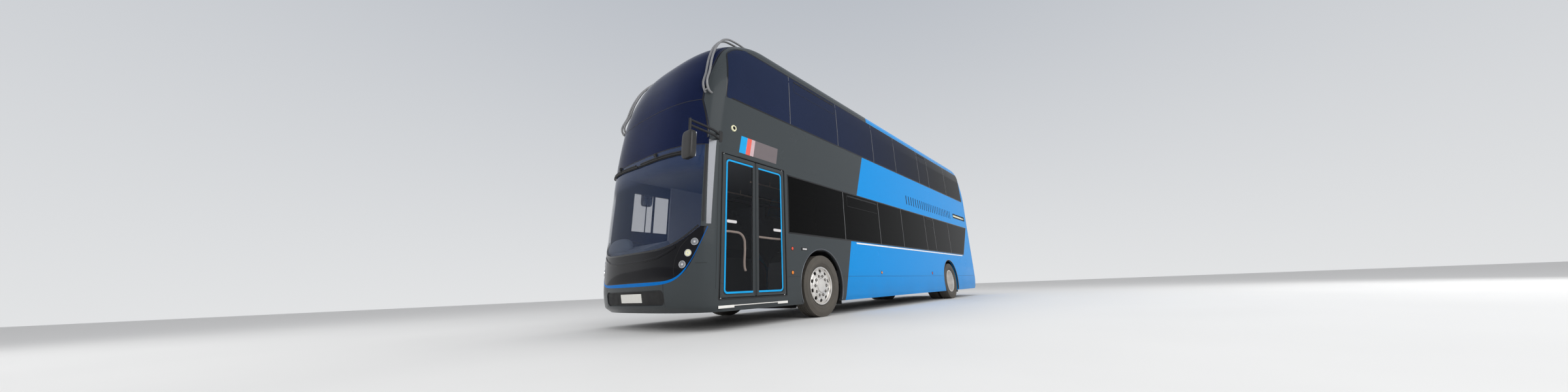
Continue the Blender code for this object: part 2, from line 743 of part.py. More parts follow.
def lamps(piece, side_inset, step, top, pitch, radius, near, far):
    # Lenses that stand a little proud of the curved skin, in a column on each side.
    for name, side in SIDES:
        for index in range(LAMP_COUNT):
            x = side * (HALF_WIDTH - side_inset - index * step)
            z = top - index * pitch
            lens = cylinder(f"{piece.name}_{name}_lamp_{index}", radius, (x, near, z), (x, far, z), LAMP_SEGMENTS)
            join(piece, cut(keep(lens, LAMP_FACE), INNER))


def upper_side(name, side, finish):
    near, far = side_limits(side, HALF_GAP, OUT_X)
    panel = boxes(name, [((near, FAR_FRONT_Y, DECK_SPLIT_Z + HALF_GAP),
                          (far, TAIL_SPLIT_Y - HALF_GAP, ROOF_SPLIT_Z - HALF_GAP))], finish)
    cut(keep(panel, OUTER), INNER)
    cut(panel, rebate(name + "_rebate", "upper", side), bay_openings(name + "_bays", "upper", side))
    if side > 0:
        cut(panel, louvres_and_lamp_box())
    return cut(panel, prism(name + "_screen_opening", front_glass_outline(SEAT_GAP), "Y",
                            FAR_FRONT_Y, UPPER_BAND_FRONT_Y + 2 * OVERRUN))


def front_panels():
    region = [((-OUT_X, FAR_FRONT_Y, BELOW_Z),
               (OUT_X, FRONT_SPLIT_Y - HALF_GAP, DECK_SPLIT_Z - HALF_GAP))]
    screen_low = screen_curve(SCREEN_HALF_WIDTH, SCREEN_LOW_Z, SCREEN_CORNER_Z, SCREEN_CURVE_POWER)
    mask_low = screen_curve(MASK_HALF_WIDTH, MASK_LOW_Z, SCREEN_CORNER_Z, MASK_CURVE_POWER)
    top = DECK_SPLIT_Z + OVERRUN
    edge = SCREEN_HALF_WIDTH + SEAT_GAP
    above_mask = mask_low + [(edge, SCREEN_CORNER_Z), (edge, top), (-edge, top), (-edge, SCREEN_CORNER_Z)]
    bumper = cut(keep(boxes("front_bumper", region, BODY_GREY), OUTER), INNER)
    plate_recess = rounded_rectangle(-PLATE_RECESS_HALF_WIDTH, PLATE_RECESS_HALF_WIDTH, PLATE_RECESS_LOW_Z,
                                     PLATE_RECESS_HIGH_Z, PLATE_RECESS_CORNER, 2)
    recess = prism("plate_recess", plate_recess, "Y", FAR_FRONT_Y, 0)
    cut(bumper, prism("bumper_opening", above_mask, "Y", FAR_FRONT_Y, 0), cut(recess, RECESS_BACK))
    mask_side = [(x, z - SEAT_GAP) for x, z in screen_low]
    mask_outline = [(x, z + SEAT_GAP) for x, z in mask_low[1:-1]] + list(reversed(mask_side))
    mask = prism("front_mask", mask_outline, "Y", FAR_FRONT_Y, FRONT_SPLIT_Y, BLACK_GLOSS)
    cut(keep(mask, OUTER), INNER)
    lamps(mask, FRONT_LAMP_SIDE, FRONT_LAMP_STEP, FRONT_LAMP_TOP_Z, FRONT_LAMP_PITCH, FRONT_LAMP_RADIUS,
          FAR_FRONT_Y, FRONT_SPLIT_Y)
    high = DECK_SPLIT_Z - HALF_GAP
    screen_outline = screen_low + [(SCREEN_HALF_WIDTH, high), (-SCREEN_HALF_WIDTH, high)]
    screen = prism("lower_windscreen", screen_outline, "Y", FAR_FRONT_Y, FRONT_SPLIT_Y, TINTED_GLASS)
    cut(keep(screen, OUTER), SCREEN_BACK)


def upper_front_glass():
    outline = front_glass_outline(0)
    for name, low, high, finish in (
            ("destination_glass", DECK_SPLIT_Z + HALF_GAP, UPPER_SCREEN_LOW_Z - HALF_GAP, BLACK_GLOSS),
            ("upper_windscreen", UPPER_SCREEN_LOW_Z + HALF_GAP, ROOF_SPLIT_Z - HALF_GAP, TINTED_GLASS)):
        glass = prism(name, outline, "Y", FAR_FRONT_Y, UPPER_BAND_FRONT_Y + 2 * OVERRUN, finish)
        keep(glass, boxes(name + "_level", [((-OUT_X, FAR_FRONT_Y, low), (OUT_X, 0, high))]))
        cut(keep(glass, OUTER), SCREEN_BACK)


def roof_panel():
    roof = boxes("roof", [((-OUT_X, FAR_FRONT_Y, ROOF_SPLIT_Z + HALF_GAP),
                           (OUT_X, FAR_TAIL_Y, ABOVE_Z))], BODY_GREY)
    cut(keep(roof, OUTER), INNER)


def tail_y_at(level):
    # The outer skin of the tail at a height, on the centre line.
    share = level / BODY_HEIGHT
    for lower, upper in zip(HULL_STATION_SHARES, HULL_STATION_SHARES[1:]):
        if lower[0] <= share <= upper[0]:
            along = (share - lower[0]) / (upper[0] - lower[0])
            return WHEELBASE + (lower[5] + along * (upper[5] - lower[5])) * REAR_OVERHANG
    return TAIL_Y


def lid_hinge(lid, panel, half, level):
    # Two barrels side by side at each end of the top edge, one on the lid and one above it.
    y = tail_y_at(level) + LID_HINGE_PROUD
    for name, side in SIDES:
        middle = side * half * LID_HINGE_SHARE
        for piece, near, far, reach in ((lid, middle - LID_BARREL_LENGTH, middle, -LID_STRAP),
                                        (panel, middle + SEAT_GAP, middle + LID_BARREL_LENGTH, LID_STRAP)):
            barrel = cylinder(f"{piece.name}_{name}_barrel", LID_BARREL_RADIUS,
                              (near, y, level), (far, y, level), PIN_SEGMENTS)
            low, high = sorted((level, level + reach))
            root = min(tail_y_at(low), tail_y_at(high)) - LID_HINGE_PROUD
            strap = boxes(f"{piece.name}_{name}_strap", [((near, root, low), (far, y, high))])
            join(piece, barrel, strap)


def lid_outline(half, low, high, grow):
    return rounded_rectangle(-half - grow, half + grow, low - grow, high + grow, LID_CORNER + grow)


def rear_end():
    panel = boxes("rear_panel", [((-OUT_X, TAIL_SPLIT_Y + HALF_GAP, BELOW_Z),
                                  (OUT_X, FAR_TAIL_Y, ROOF_SPLIT_Z - HALF_GAP))], BODY_BLUE)
    cut(keep(panel, OUTER), INNER)
    lamps(panel, REAR_LAMP_SIDE, 0, REAR_LAMP_TOP_Z, REAR_LAMP_PITCH, REAR_LAMP_RADIUS,
          TAIL_SPLIT_Y + LID_CORNER, FAR_TAIL_Y)
    for name, half, low, high, finish in (
            ("engine_cover", COVER_HALF_WIDTH, COVER_LOW_Z, COVER_HIGH_Z, BODY_BLUE),
            ("rear_emergency_window", COVER_HALF_WIDTH, REAR_WINDOW_LOW_Z,
             REAR_WINDOW_HIGH_Z, TINTED_GLASS)):
        cut(panel, prism(name + "_opening", lid_outline(half, low, high, LID_GAP), "Y",
                         TAIL_SPLIT_Y - OVERRUN, FAR_TAIL_Y))
        lid = prism(name, lid_outline(half, low, high, 0), "Y", TAIL_SPLIT_Y, FAR_TAIL_Y, finish)
        cut(keep(lid, OUTER), INNER)
        lid_hinge(lid, panel, half, high + LID_GAP / 2)


def door_leaf(name, start, stop, hinge_y):
    # A glazed leaf with its stiles and rails, thicker than its pane.
    face = HALF_WIDTH - DOOR_FACE_INSET
    back = face - DOOR_THICKNESS
    leaf = boxes(name, [((back, start, DOOR_LOW_Z), (face, stop, DOOR_HIGH_Z))], BODY_GREY)
    pane = rounded_rectangle(start + DOOR_STILE, stop - DOOR_STILE, DOOR_LOW_Z + DOOR_RAIL,
                             DOOR_HIGH_Z - DOOR_RAIL, DOOR_CORNER, 3)
    recess = prism(name + "_recess", pane, "X", back - OVERRUN, face - DOOR_GLASS)
    spot = ((face + back) / 2, hinge_y)
    reach = DOOR_THRESHOLD_GAP - SEAT_GAP
    pin = cylinder(name + "_pins", DOOR_PIN_RADIUS, (*spot, DOOR_LOW_Z - reach),
                   (*spot, DOOR_HIGH_Z + reach), PIN_SEGMENTS)
    return join(cut(leaf, recess), pin)


def doors():
    middle = (DOOR_FRONT_Y + DOOR_REAR_Y) / 2
    door_leaf("door_front_leaf", DOOR_FRONT_Y, middle - DOOR_MEETING_GAP / 2,
              DOOR_FRONT_Y + DOOR_HINGE_INSET)
    door_leaf("door_rear_leaf", middle + DOOR_MEETING_GAP / 2, DOOR_REAR_Y,
              DOOR_REAR_Y - DOOR_HINGE_INSET)


REAR_FLOOR_Y = WHEELBASE - REAR_FLOOR_START
ENGINE_DECK_Y = WHEELBASE + ENGINE_DECK_START
RAIL_TOP_Z = FLOOR_TOP_Z - FLOOR_PLATE - SEAT_GAP
REAR_RAIL_TOP_Z = REAR_FLOOR_Z - FLOOR_PLATE - SEAT_GAP


def wheel_box(name, y, side, thickness, reach):
    # The housing over a wheel, a rounded box that is open below.
    near, far = side_limits(side, HALF_WIDTH - WALL - WHEEL_BOX_WIDTH - thickness, OUT_X)
    top = TYRE_RADIUS + WHEEL_BOX_RISE + thickness
    half = reach + thickness
    outline = [(y + half, BELOW_Z)] + arc((y + half / 2, top - half / 2), half / 2, 0, 90, 4)
    outline += arc((y - half / 2, top - half / 2), half / 2, 90, 180, 4) + [(y - half, BELOW_Z)]
    return prism(name, outline, "X", near, far)


def lower_floor():
    tail = TAIL_Y - WALL
    plate = FLOOR_PLATE
    outline = [(FLOOR_FRONT_Y, FLOOR_TOP_Z), (REAR_FLOOR_Y, FLOOR_TOP_Z), (REAR_FLOOR_Y, REAR_FLOOR_Z),
               (ENGINE_DECK_Y, REAR_FLOOR_Z), (ENGINE_DECK_Y, ENGINE_DECK_Z), (tail, ENGINE_DECK_Z),
               (tail, ENGINE_DECK_Z - plate), (ENGINE_DECK_Y + plate, ENGINE_DECK_Z - plate),
               (ENGINE_DECK_Y + plate, REAR_FLOOR_Z - plate), (REAR_FLOOR_Y + plate, REAR_FLOOR_Z - plate),
               (REAR_FLOOR_Y + plate, FLOOR_TOP_Z - plate), (FLOOR_FRONT_Y, FLOOR_TOP_Z - plate)]
    floor = prism("lower_floor", outline, "X", -OUT_X, OUT_X, FLOOR_VINYL)
    spots = [(y, side) for y in (0, WHEELBASE) for side in (1, -1)]
    for index, (y, side) in enumerate(spots):
        join(floor, wheel_box(f"wheel_box_{index}", y, side, WHEEL_BOX_WALL, WHEEL_BOX_REACH))
    below = boxes("below_floor", [((-OUT_X, FAR_FRONT_Y, BELOW_Z - OVERRUN),
                                   (OUT_X, FAR_TAIL_Y, FLOOR_TOP_Z - plate))])
    for index, (y, side) in enumerate(spots):
        cut(floor, wheel_box(f"wheel_space_{index}", y, side, 0, WHEEL_BOX_REACH))
    slot_top = TYRE_RADIUS + AXLE_TUBE_RADIUS + 2 * FLOOR_PLATE
    slot_half = AXLE_TUBE_RADIUS + 2 * FLOOR_PLATE
    cut(floor, below, boxes("axle_slot", [((-KINGPIN_X, WHEELBASE - slot_half, BELOW_Z),
                                           (KINGPIN_X, WHEELBASE + slot_half, slot_top))]))
    keep(floor, LINING)


def stair_outline():
    rise = (UPPER_FLOOR_Z - FLOOR_TOP_Z) / STAIR_STEPS
    points = [(STAIR_FOOT_Y, FLOOR_TOP_Z + SEAT_GAP)]
    for step in range(1, STAIR_STEPS):
        y = STAIR_FOOT_Y - (step - 1) * STAIR_TREAD
        level = FLOOR_TOP_Z + step * rise
        points += [(y, level), (y - STAIR_TREAD, level)]
    end = STAIR_FOOT_Y - (STAIR_STEPS - 1) * STAIR_TREAD
    top = FLOOR_TOP_Z + (STAIR_STEPS - 1) * rise
    points += [(end, top - STAIR_THICKNESS),
               (STAIR_FOOT_Y - STAIR_TREAD, FLOOR_TOP_Z + SEAT_GAP)]
    return points


def staircase():
    near = HALF_WIDTH - WALL - SEAT_SIDE_GAP
    prism("staircase", stair_outline(), "X", -near, -near + STAIR_WIDTH, TRIM)


def upper_floor():
    floor = boxes("upper_floor", [((-OUT_X, FLOOR_FRONT_Y, UPPER_FLOOR_Z - UPPER_FLOOR_PLATE),
                                   (OUT_X, FAR_TAIL_Y, UPPER_FLOOR_Z))], FLOOR_VINYL)
    end = STAIR_FOOT_Y - (STAIR_STEPS - 1) * STAIR_TREAD
    well = boxes("stair_well", [((-OUT_X, end - STAIR_TREAD, 0),
                                 (-HALF_WIDTH + WALL + STAIR_WIDTH + 2 * SEAT_SIDE_GAP,
                                  STAIR_FOOT_Y - STAIR_TREAD, ABOVE_Z))])
    well_inside = keep(well, hull("hull_well", WALL + SEAT_SIDE_GAP))
    keep(cut(floor, well_inside), LINING)


def chassis():
    depth = RAIL_DEPTH
    tail = TAIL_Y - WALL - OVERRUN
    nose = FLOOR_FRONT_Y + OVERRUN
    step = REAR_FLOOR_Y + FLOOR_PLATE + SEAT_GAP
    kick = step + 2 * depth
    outline = [(nose, RAIL_TOP_Z), (step, RAIL_TOP_Z), (kick, REAR_RAIL_TOP_Z),
               (tail, REAR_RAIL_TOP_Z), (tail, REAR_RAIL_TOP_Z - depth),
               (kick + depth / 2, REAR_RAIL_TOP_Z - depth), (step + depth / 2, RAIL_TOP_Z - depth),
               (nose, RAIL_TOP_Z - depth)]
    frame = prism("chassis_frame", outline, "X", RAIL_X - RAIL_WIDTH / 2, RAIL_X + RAIL_WIDTH / 2, STEEL)
    join(frame, prism("offside_rail", outline, "X", -RAIL_X - RAIL_WIDTH / 2, -RAIL_X + RAIL_WIDTH / 2))
    corners = []
    for share in CROSS_SHARES:
        y = nose + share * (tail - nose)
        level = RAIL_TOP_Z if y < REAR_FLOOR_Y else REAR_RAIL_TOP_Z
        inset = depth / 5
        corners.append(((-RAIL_X, y - CROSS_WIDTH / 2, level - depth + inset),
                        (RAIL_X, y + CROSS_WIDTH / 2, level - inset)))
    pad_y = WHEELBASE + JACK_PAD_BEHIND
    pads = []
    for side in (1, -1):
        near, far = side_limits(side, RAIL_X - RAIL_WIDTH / 2, RAIL_X + RAIL_WIDTH / 2)
        pads.append(((near, pad_y - JACK_PAD_LENGTH / 2, REAR_RAIL_TOP_Z - depth - JACK_PAD_DEPTH),
                     (far, pad_y + JACK_PAD_LENGTH / 2, REAR_RAIL_TOP_Z - depth / 2)))
    join(frame, boxes("cross_members", corners), boxes("jacking_pads", pads))


BEAM_TOP_Z = RAIL_TOP_Z - RAIL_DEPTH - SEAT_GAP


def clear_radius(radius, segments):
    # A bore in which a faceted pin of this radius can turn.
    return radius / math.cos(math.pi / segments) + SEAT_GAP


def front_axle():
    # A dropped beam: low between the wheels and raised to the kingpins.
    low = BEAM_TOP_Z - BEAM_DEPTH
    rise = KINGPIN_X - WHEEL_BOX_WIDTH / 2
    half = [(0, low), (rise - BEAM_DEPTH, low), (rise + BEAM_DEPTH, TYRE_RADIUS - BOSS_RADIUS),
            (KINGPIN_X, TYRE_RADIUS - BOSS_RADIUS), (KINGPIN_X, TYRE_RADIUS + BOSS_RADIUS),
            (rise + BEAM_DEPTH / 2, TYRE_RADIUS + BOSS_RADIUS), (rise - BEAM_DEPTH, BEAM_TOP_Z), (0, BEAM_TOP_Z)]
    outline = half[1:-1] + [(-x, z) for x, z in reversed(half[1:-1])]
    beam = prism("front_axle", outline, "Y", -BEAM_HALF_WIDTH, BEAM_HALF_WIDTH, STEEL)
    for name, side in SIDES:
        spot = (side * KINGPIN_X, 0)
        boss = cylinder(name + "_boss", BOSS_RADIUS + BOSS_WALL,
                        (*spot, TYRE_RADIUS - BOSS_HALF), (*spot, TYRE_RADIUS + BOSS_HALF), BOSS_SEGMENTS)
        bore = cylinder(name + "_kingpin_bore", clear_radius(KINGPIN_RADIUS, BOSS_SEGMENTS),
                        (*spot, TYRE_RADIUS - OVERRUN), (*spot, TYRE_RADIUS + OVERRUN), BOSS_SEGMENTS)
        cut(join(beam, boss), bore)


def knuckles():
    for name, side in SIDES:
        x = side * KINGPIN_X
        ear_in = BOSS_HALF + SEAT_GAP
        ear_out = ear_in + EAR
        plate_x = BOSS_RADIUS + BOSS_WALL + EAR_GAP
        knuckle = cylinder(f"knuckle_{name}", BOSS_RADIUS, (x, 0, TYRE_RADIUS + ear_in),
                           (x, 0, TYRE_RADIUS + ear_out), BOSS_SEGMENTS, STEEL)
        lower_ear = cylinder(name + "_lower_ear", BOSS_RADIUS, (x, 0, TYRE_RADIUS - ear_out),
                             (x, 0, TYRE_RADIUS - ear_in), BOSS_SEGMENTS)
        pin = cylinder(name + "_kingpin", KINGPIN_RADIUS, (x, 0, TYRE_RADIUS - ear_out + EAR / 2),
                       (x, 0, TYRE_RADIUS + ear_out - EAR / 2), BOSS_SEGMENTS)
        ears = []
        for low in (TYRE_RADIUS + ear_in, TYRE_RADIUS - ear_out):
            near, far = side_limits(side, KINGPIN_X, KINGPIN_X + plate_x + KNUCKLE_PLATE)
            ears.append(((near, -BOSS_RADIUS, low), (far, BOSS_RADIUS, low + EAR)))
        near, far = side_limits(side, KINGPIN_X + plate_x, KINGPIN_X + plate_x + KNUCKLE_PLATE)
        plate = boxes(name + "_knuckle_plate", [((near, -BOSS_RADIUS, TYRE_RADIUS - ear_out + EAR / 4),
                                                 (far, BOSS_RADIUS, TYRE_RADIUS + ear_out - EAR / 4))])
        spindle_end = KINGPIN_X + KINGPIN_OFFSET + SPINDLE_END
        spindle = cylinder(name + "_spindle", SPINDLE_RADIUS,
                           (side * (KINGPIN_X + plate_x + KNUCKLE_PLATE / 2), 0, TYRE_RADIUS),
                           (side * spindle_end, 0, TYRE_RADIUS), BOSS_SEGMENTS)
        arm_low = TYRE_RADIUS - ear_out + EAR / 4
        foot = (side * (KINGPIN_X - ARM_INBOARD), ARM_REACH)
        arm = prism(name + "_steering_arm", arm_outline((x, 0), foot), "Z", arm_low, arm_low + EAR / 2)
        post = cylinder(name + "_arm_post", ARM_POST_RADIUS, (*foot, ARM_FOOT_Z),
                        (*foot, arm_low + EAR / 4), PIN_SEGMENTS)
        join(knuckle, boxes(name + "_upper_lug", [ears[0]]), lower_ear, boxes(name + "_lower_lug", [ears[1]]),
             plate, pin, spindle, arm, post)


def arm_outline(start, end):
    across = Vector((end[1] - start[1], start[0] - end[0])).normalized() * ARM_HALF_WIDTH
    return [(start[0] + across.x, start[1] + across.y), (end[0] + across.x, end[1] + across.y),
            (end[0] - across.x, end[1] - across.y), (start[0] - across.x, start[1] - across.y)]


def track_rod():
    reach = KINGPIN_X - ARM_INBOARD
    top = ARM_FOOT_Z - SEAT_GAP
    rod = cylinder("track_rod", ROD_RADIUS, (-reach, ARM_REACH, top - ROD_EYE / 2),
                   (reach, ARM_REACH, top - ROD_EYE / 2), PIN_SEGMENTS, STEEL)
    for name, side in SIDES:
        eye = cylinder(name + "_rod_eye", ARM_POST_RADIUS, (side * reach, ARM_REACH, top - ROD_EYE),
                       (side * reach, ARM_REACH, top), PIN_SEGMENTS)
        join(rod, eye)


def rear_axle():
    end = REAR_WHEEL_X - TWIN_PITCH / 2
    axle = cylinder("rear_axle", AXLE_TUBE_RADIUS, (-end, WHEELBASE, TYRE_RADIUS),
                    (end, WHEELBASE, TYRE_RADIUS), BOSS_SEGMENTS, STEEL)
    spindle = cylinder("rear_spindles", REAR_SPINDLE_RADIUS, (-REAR_WHEEL_X - SPINDLE_END, WHEELBASE, TYRE_RADIUS),
                       (REAR_WHEEL_X + SPINDLE_END, WHEELBASE, TYRE_RADIUS), BOSS_SEGMENTS)
    bm = bmesh.new()
    bmesh.ops.create_uvsphere(bm, u_segments=12, v_segments=8, radius=DIFFERENTIAL_RADIUS,
                              matrix=Matrix.Translation((0, WHEELBASE, TYRE_RADIUS)))
    differential = place("differential", mesh_from(bm, "differential"))
    pads = []
    for side in (1, -1):
        near, far = side_limits(side, RAIL_X - RAIL_WIDTH / 2, RAIL_X + RAIL_WIDTH / 2)
        pads.append(((near, WHEELBASE - AXLE_TUBE_RADIUS, TYRE_RADIUS),
                     (far, WHEELBASE + AXLE_TUBE_RADIUS, REAR_RAIL_TOP_Z - RAIL_DEPTH - SEAT_GAP)))
    join(axle, spindle, differential, boxes("axle_pads", pads))


def tyre_profile():
    half = TYRE_WIDTH / 2
    seat = RIM_RADIUS + SEAT_GAP
    section = TYRE_RADIUS - seat
    bead = half * TYRE_BEAD_SHARE
    outer = [(seat + TYRE_BEAD, bead)]
    outer += [(TYRE_RADIUS - depth * section, width * half) for depth, width in TYRE_SIDE_SHARES]
    mirrored = [(radius, -height) for radius, height in reversed(outer)]
    return outer + mirrored + [(seat, -bead), (seat, bead)]


def lay_along_x(obj, x, y, side):
    obj.rotation_euler = (0, side * math.pi / 2, 0)
    obj.location = (x, y, TYRE_RADIUS)
    return obj


def tyre(name, x, y, side):
    lay_along_x(turned(name, tyre_profile(), TYRE_SEGMENTS, RUBBER), x, y, side)


def rim_outside(low, high):
    # The rim's outer side from its outer flange to its inner one, with the tyre's seat between.
    flange = RIM_RADIUS + RIM_FLANGE
    return [(flange, high), (flange, high - RIM_LIP), (RIM_RADIUS, high - RIM_LIP - RIM_STEP),
            (RIM_RADIUS, low + RIM_LIP + RIM_STEP), (flange, low + RIM_LIP), (flange, low)]


def front_wheel_profile():
    half = RIM_HALF_SHARE * TYRE_WIDTH / 2
    inside = RIM_RADIUS - RIM_WALL
    bore = clear_radius(SPINDLE_RADIUS, WHEEL_SEGMENTS)
    blind = SPINDLE_END + SEAT_GAP
    face = [(radius * RIM_RADIUS, height * half) for radius, height in FRONT_FACE_SHARES]
    dish = [(radius, height - DISC_THICKNESS) for radius, height in reversed(face[HUB_CAP_POINTS:])]
    return (face + rim_outside(-half, half) + [(inside, -half), (inside, dish[0][1])] + dish
            + [(HUB_RADIUS, HUB_BACK), (bore, HUB_BACK), (bore, blind), (0, blind)])


def rear_wheel_profile():
    half, pitch = RIM_HALF_SHARE * TYRE_WIDTH / 2, TWIN_PITCH / 2
    inside = RIM_RADIUS - RIM_WALL
    bore = clear_radius(REAR_SPINDLE_RADIUS, WHEEL_SEGMENTS)
    blind = SPINDLE_END + SEAT_GAP
    hub = [(radius * RIM_RADIUS, height * pitch) for radius, height in REAR_HUB_SHARES]
    outer = hub + [(inside, pitch - half), (inside, pitch + half)] + rim_outside(pitch - half, pitch + half)
    inner = rim_outside(-pitch - half, -pitch + half) + [(inside, -pitch - half), (inside, HUB_BACK - DISC_THICKNESS)]
    return outer + inner + [(HUB_RADIUS, HUB_BACK - DISC_THICKNESS), (HUB_RADIUS, HUB_BACK), (bore, HUB_BACK),
                            (bore, blind), (0, blind)]


def hand_holes(name, x, y, radius_share):
    # Round holes in a ring through the wheel's disc, clear of its rim.
    ring = radius_share * RIM_RADIUS
    bm = bmesh.new()
    for index in range(HAND_HOLE_COUNT):
        angle = 2 * math.pi * (index + 0.5) / HAND_HOLE_COUNT
        spot = Vector((x, y + ring * math.cos(angle), TYRE_RADIUS + ring * math.sin(angle)))
        matrix = Matrix.Translation(spot) @ Matrix.Rotation(math.pi / 2, 4, "Y")
        bmesh.ops.create_cone(bm, cap_ends=True, segments=HAND_HOLE_SIDES, radius1=HAND_HOLE_RADIUS,
                              radius2=HAND_HOLE_RADIUS, depth=TYRE_WIDTH, matrix=matrix)
    return place(name, mesh_from(bm, name))


def wheels():
    for name, side in SIDES:
        tyre(f"front_tyre_{name}", side * WHEEL_X, 0, side)
        wheel = turned(f"front_wheel_{name}", front_wheel_profile(), WHEEL_SEGMENTS, ALLOY)
        lay_along_x(wheel, side * WHEEL_X, 0, side)
        cut(wheel, hand_holes(f"front_holes_{name}", side * WHEEL_X, 0, HAND_HOLE_SHARE))
        tyre(f"rear_outer_tyre_{name}", side * WHEEL_X, WHEELBASE, side)
        tyre(f"rear_inner_tyre_{name}", side * (WHEEL_X - TWIN_PITCH), WHEELBASE, side)
        pair = turned(f"rear_wheels_{name}", rear_wheel_profile(), WHEEL_SEGMENTS, ALLOY)
        lay_along_x(pair, side * REAR_WHEEL_X, WHEELBASE, side)
        cut(pair, hand_holes(f"rear_holes_{name}", side * REAR_WHEEL_X, WHEELBASE, REAR_HAND_HOLE_SHARE))


def engine():
    start = ENGINE_DECK_Y + FLOOR_PLATE + OVERRUN
    boxes("engine", [((-ENGINE_WIDTH / 2, start, REAR_RAIL_TOP_Z + SEAT_GAP),
                      (ENGINE_WIDTH / 2, start + ENGINE_LENGTH, REAR_RAIL_TOP_Z + ENGINE_HEIGHT))], STEEL)


def seat_row(name, front, count, floor_z, x_low, x_high, finish=None, spare=0):
    # A row of seats on one track, drawn as a comb in the side view.
    low = floor_z + SEAT_GAP
    rail = low + SEAT_TRACK
    under = floor_z + SEAT_HEIGHT - SEAT_CUSHION
    outline = [(front, low)]
    top = [(front, rail)]
    for index in range(count):
        y = front + index * SEAT_PITCH
        leg = y + SEAT_DEPTH - SEAT_LEG
        top += [(leg, rail), (leg, under), (y, under), (y, under + SEAT_CUSHION),
                (y + SEAT_DEPTH - SEAT_BACK / 2, under + SEAT_CUSHION),
                (y + SEAT_DEPTH + SEAT_BACK / 2, floor_z + SEAT_BACK_HEIGHT),
                (y + SEAT_DEPTH + 1.5 * SEAT_BACK, floor_z + SEAT_BACK_HEIGHT),
                (y + SEAT_DEPTH + SEAT_BACK / 2, under), (y + SEAT_DEPTH, under), (y + SEAT_DEPTH, rail)]
    end = front + (count - 1) * SEAT_PITCH + SEAT_DEPTH + SEAT_BACK + spare
    top += [(end, rail), (end, low)]
    return prism(name, outline + top, "X", x_low, x_high, finish)


def rear_bench(name, y, floor_z, half, finish):
    low = floor_z + SEAT_GAP
    under = floor_z + SEAT_HEIGHT
    back = y + SEAT_DEPTH
    top = floor_z + SEAT_BACK_HEIGHT
    outline = [(y, low), (y, under), (back, under), (back + SEAT_BACK, top), (back + 2 * SEAT_BACK, top),
               (back + SEAT_BACK, low)]
    return prism(name, outline, "X", -half, half, finish)


def upper_seats():
    # Two rows that end at the bench across the back, the offside one behind the stair well.
    side = HALF_WIDTH - WALL - SEAT_SIDE_GAP
    bench_y = TAIL_Y - WALL - SEAT_DEPTH - 4 * SEAT_BACK
    count = int((bench_y - UPPER_SEAT_FRONT_Y) / SEAT_PITCH)
    start = bench_y - count * SEAT_PITCH + 2 * SEAT_BACK
    spare = bench_y - start - (count - 1) * SEAT_PITCH - SEAT_DEPTH - SEAT_BACK - SEAT_GAP
    seat_row("upper_seats_nearside", start, count, UPPER_FLOOR_Z, side - SEAT_WIDTH, side, FABRIC, spare)
    skipped = math.ceil((STAIR_FOOT_Y + SEAT_PITCH / 4 - start) / SEAT_PITCH)
    seat_row("upper_seats_offside", start + skipped * SEAT_PITCH, count - skipped, UPPER_FLOOR_Z,
             -side, -side + SEAT_WIDTH, FABRIC, spare)
    rear_bench("upper_rear_bench", bench_y, UPPER_FLOOR_Z, side - SEAT_SIDE_GAP, FABRIC)


def lower_seats():
    side = HALF_WIDTH - WALL - SEAT_SIDE_GAP
    inner = side - SEAT_WIDTH
    front = LOWER_SEAT_FRONT_Y
    count = int((REAR_FLOOR_Y - front - SEAT_DEPTH - SEAT_BACK) / SEAT_PITCH) + 1
    seat_row("lower_seats_nearside", front, count, FLOOR_TOP_Z, inner, side, FABRIC)
    late = math.ceil((STAIR_FOOT_Y + SEAT_PITCH / 4 - front) / SEAT_PITCH)
    seat_row("lower_seats_offside", front + late * SEAT_PITCH, count - late, FLOOR_TOP_Z, -side, -inner, FABRIC)


def driver_cab():
    side = HALF_WIDTH - WALL - SEAT_SIDE_GAP
    seat_row("driver_seat", PARTITION_Y - SEAT_DEPTH - 3 * SEAT_BACK, 1, FLOOR_TOP_Z,
             DRIVER_X - SEAT_WIDTH / 4, DRIVER_X + SEAT_WIDTH / 4, FABRIC)
    level = FLOOR_TOP_Z + SEAT_GAP
    outline = [(-side, PARTITION_Y), (-side, PARTITION_Y + PARTITION), (CAB_SIDE_X, PARTITION_Y + PARTITION),
               (CAB_SIDE_X, FRONT_SPLIT_Y + DASH_DEPTH), (CAB_SIDE_X - PARTITION, FRONT_SPLIT_Y + DASH_DEPTH),
               (CAB_SIDE_X - PARTITION, PARTITION_Y)]
    prism("cab_partition", outline, "Z", level, LOWER_HEAD_Z - PILLAR, TRIM)
    back = NOSE_Y + WALL + DASH_DEPTH
    lip = back + DASH_DEPTH / 3
    outline = [(FAR_FRONT_Y, level), (back, level), (back, FLOOR_TOP_Z + SEAT_HEIGHT),
               (lip, DASH_TOP_Z - DASH_DEPTH / 2), (lip, DASH_TOP_Z - DASH_DEPTH / 3), (back, DASH_TOP_Z),
               (FAR_FRONT_Y, SCREEN_LOW_Z + SEAT_GAP)]
    dash = prism("dashboard", outline, "X", -OUT_X, DASH_NEARSIDE_X, TRIM)
    keep(dash, LINING)


STEERING_CENTRE = (DRIVER_X, NOSE_Y + WALL + DASH_DEPTH + COLUMN_BEHIND, DASH_TOP_Z - COLUMN_DROP)


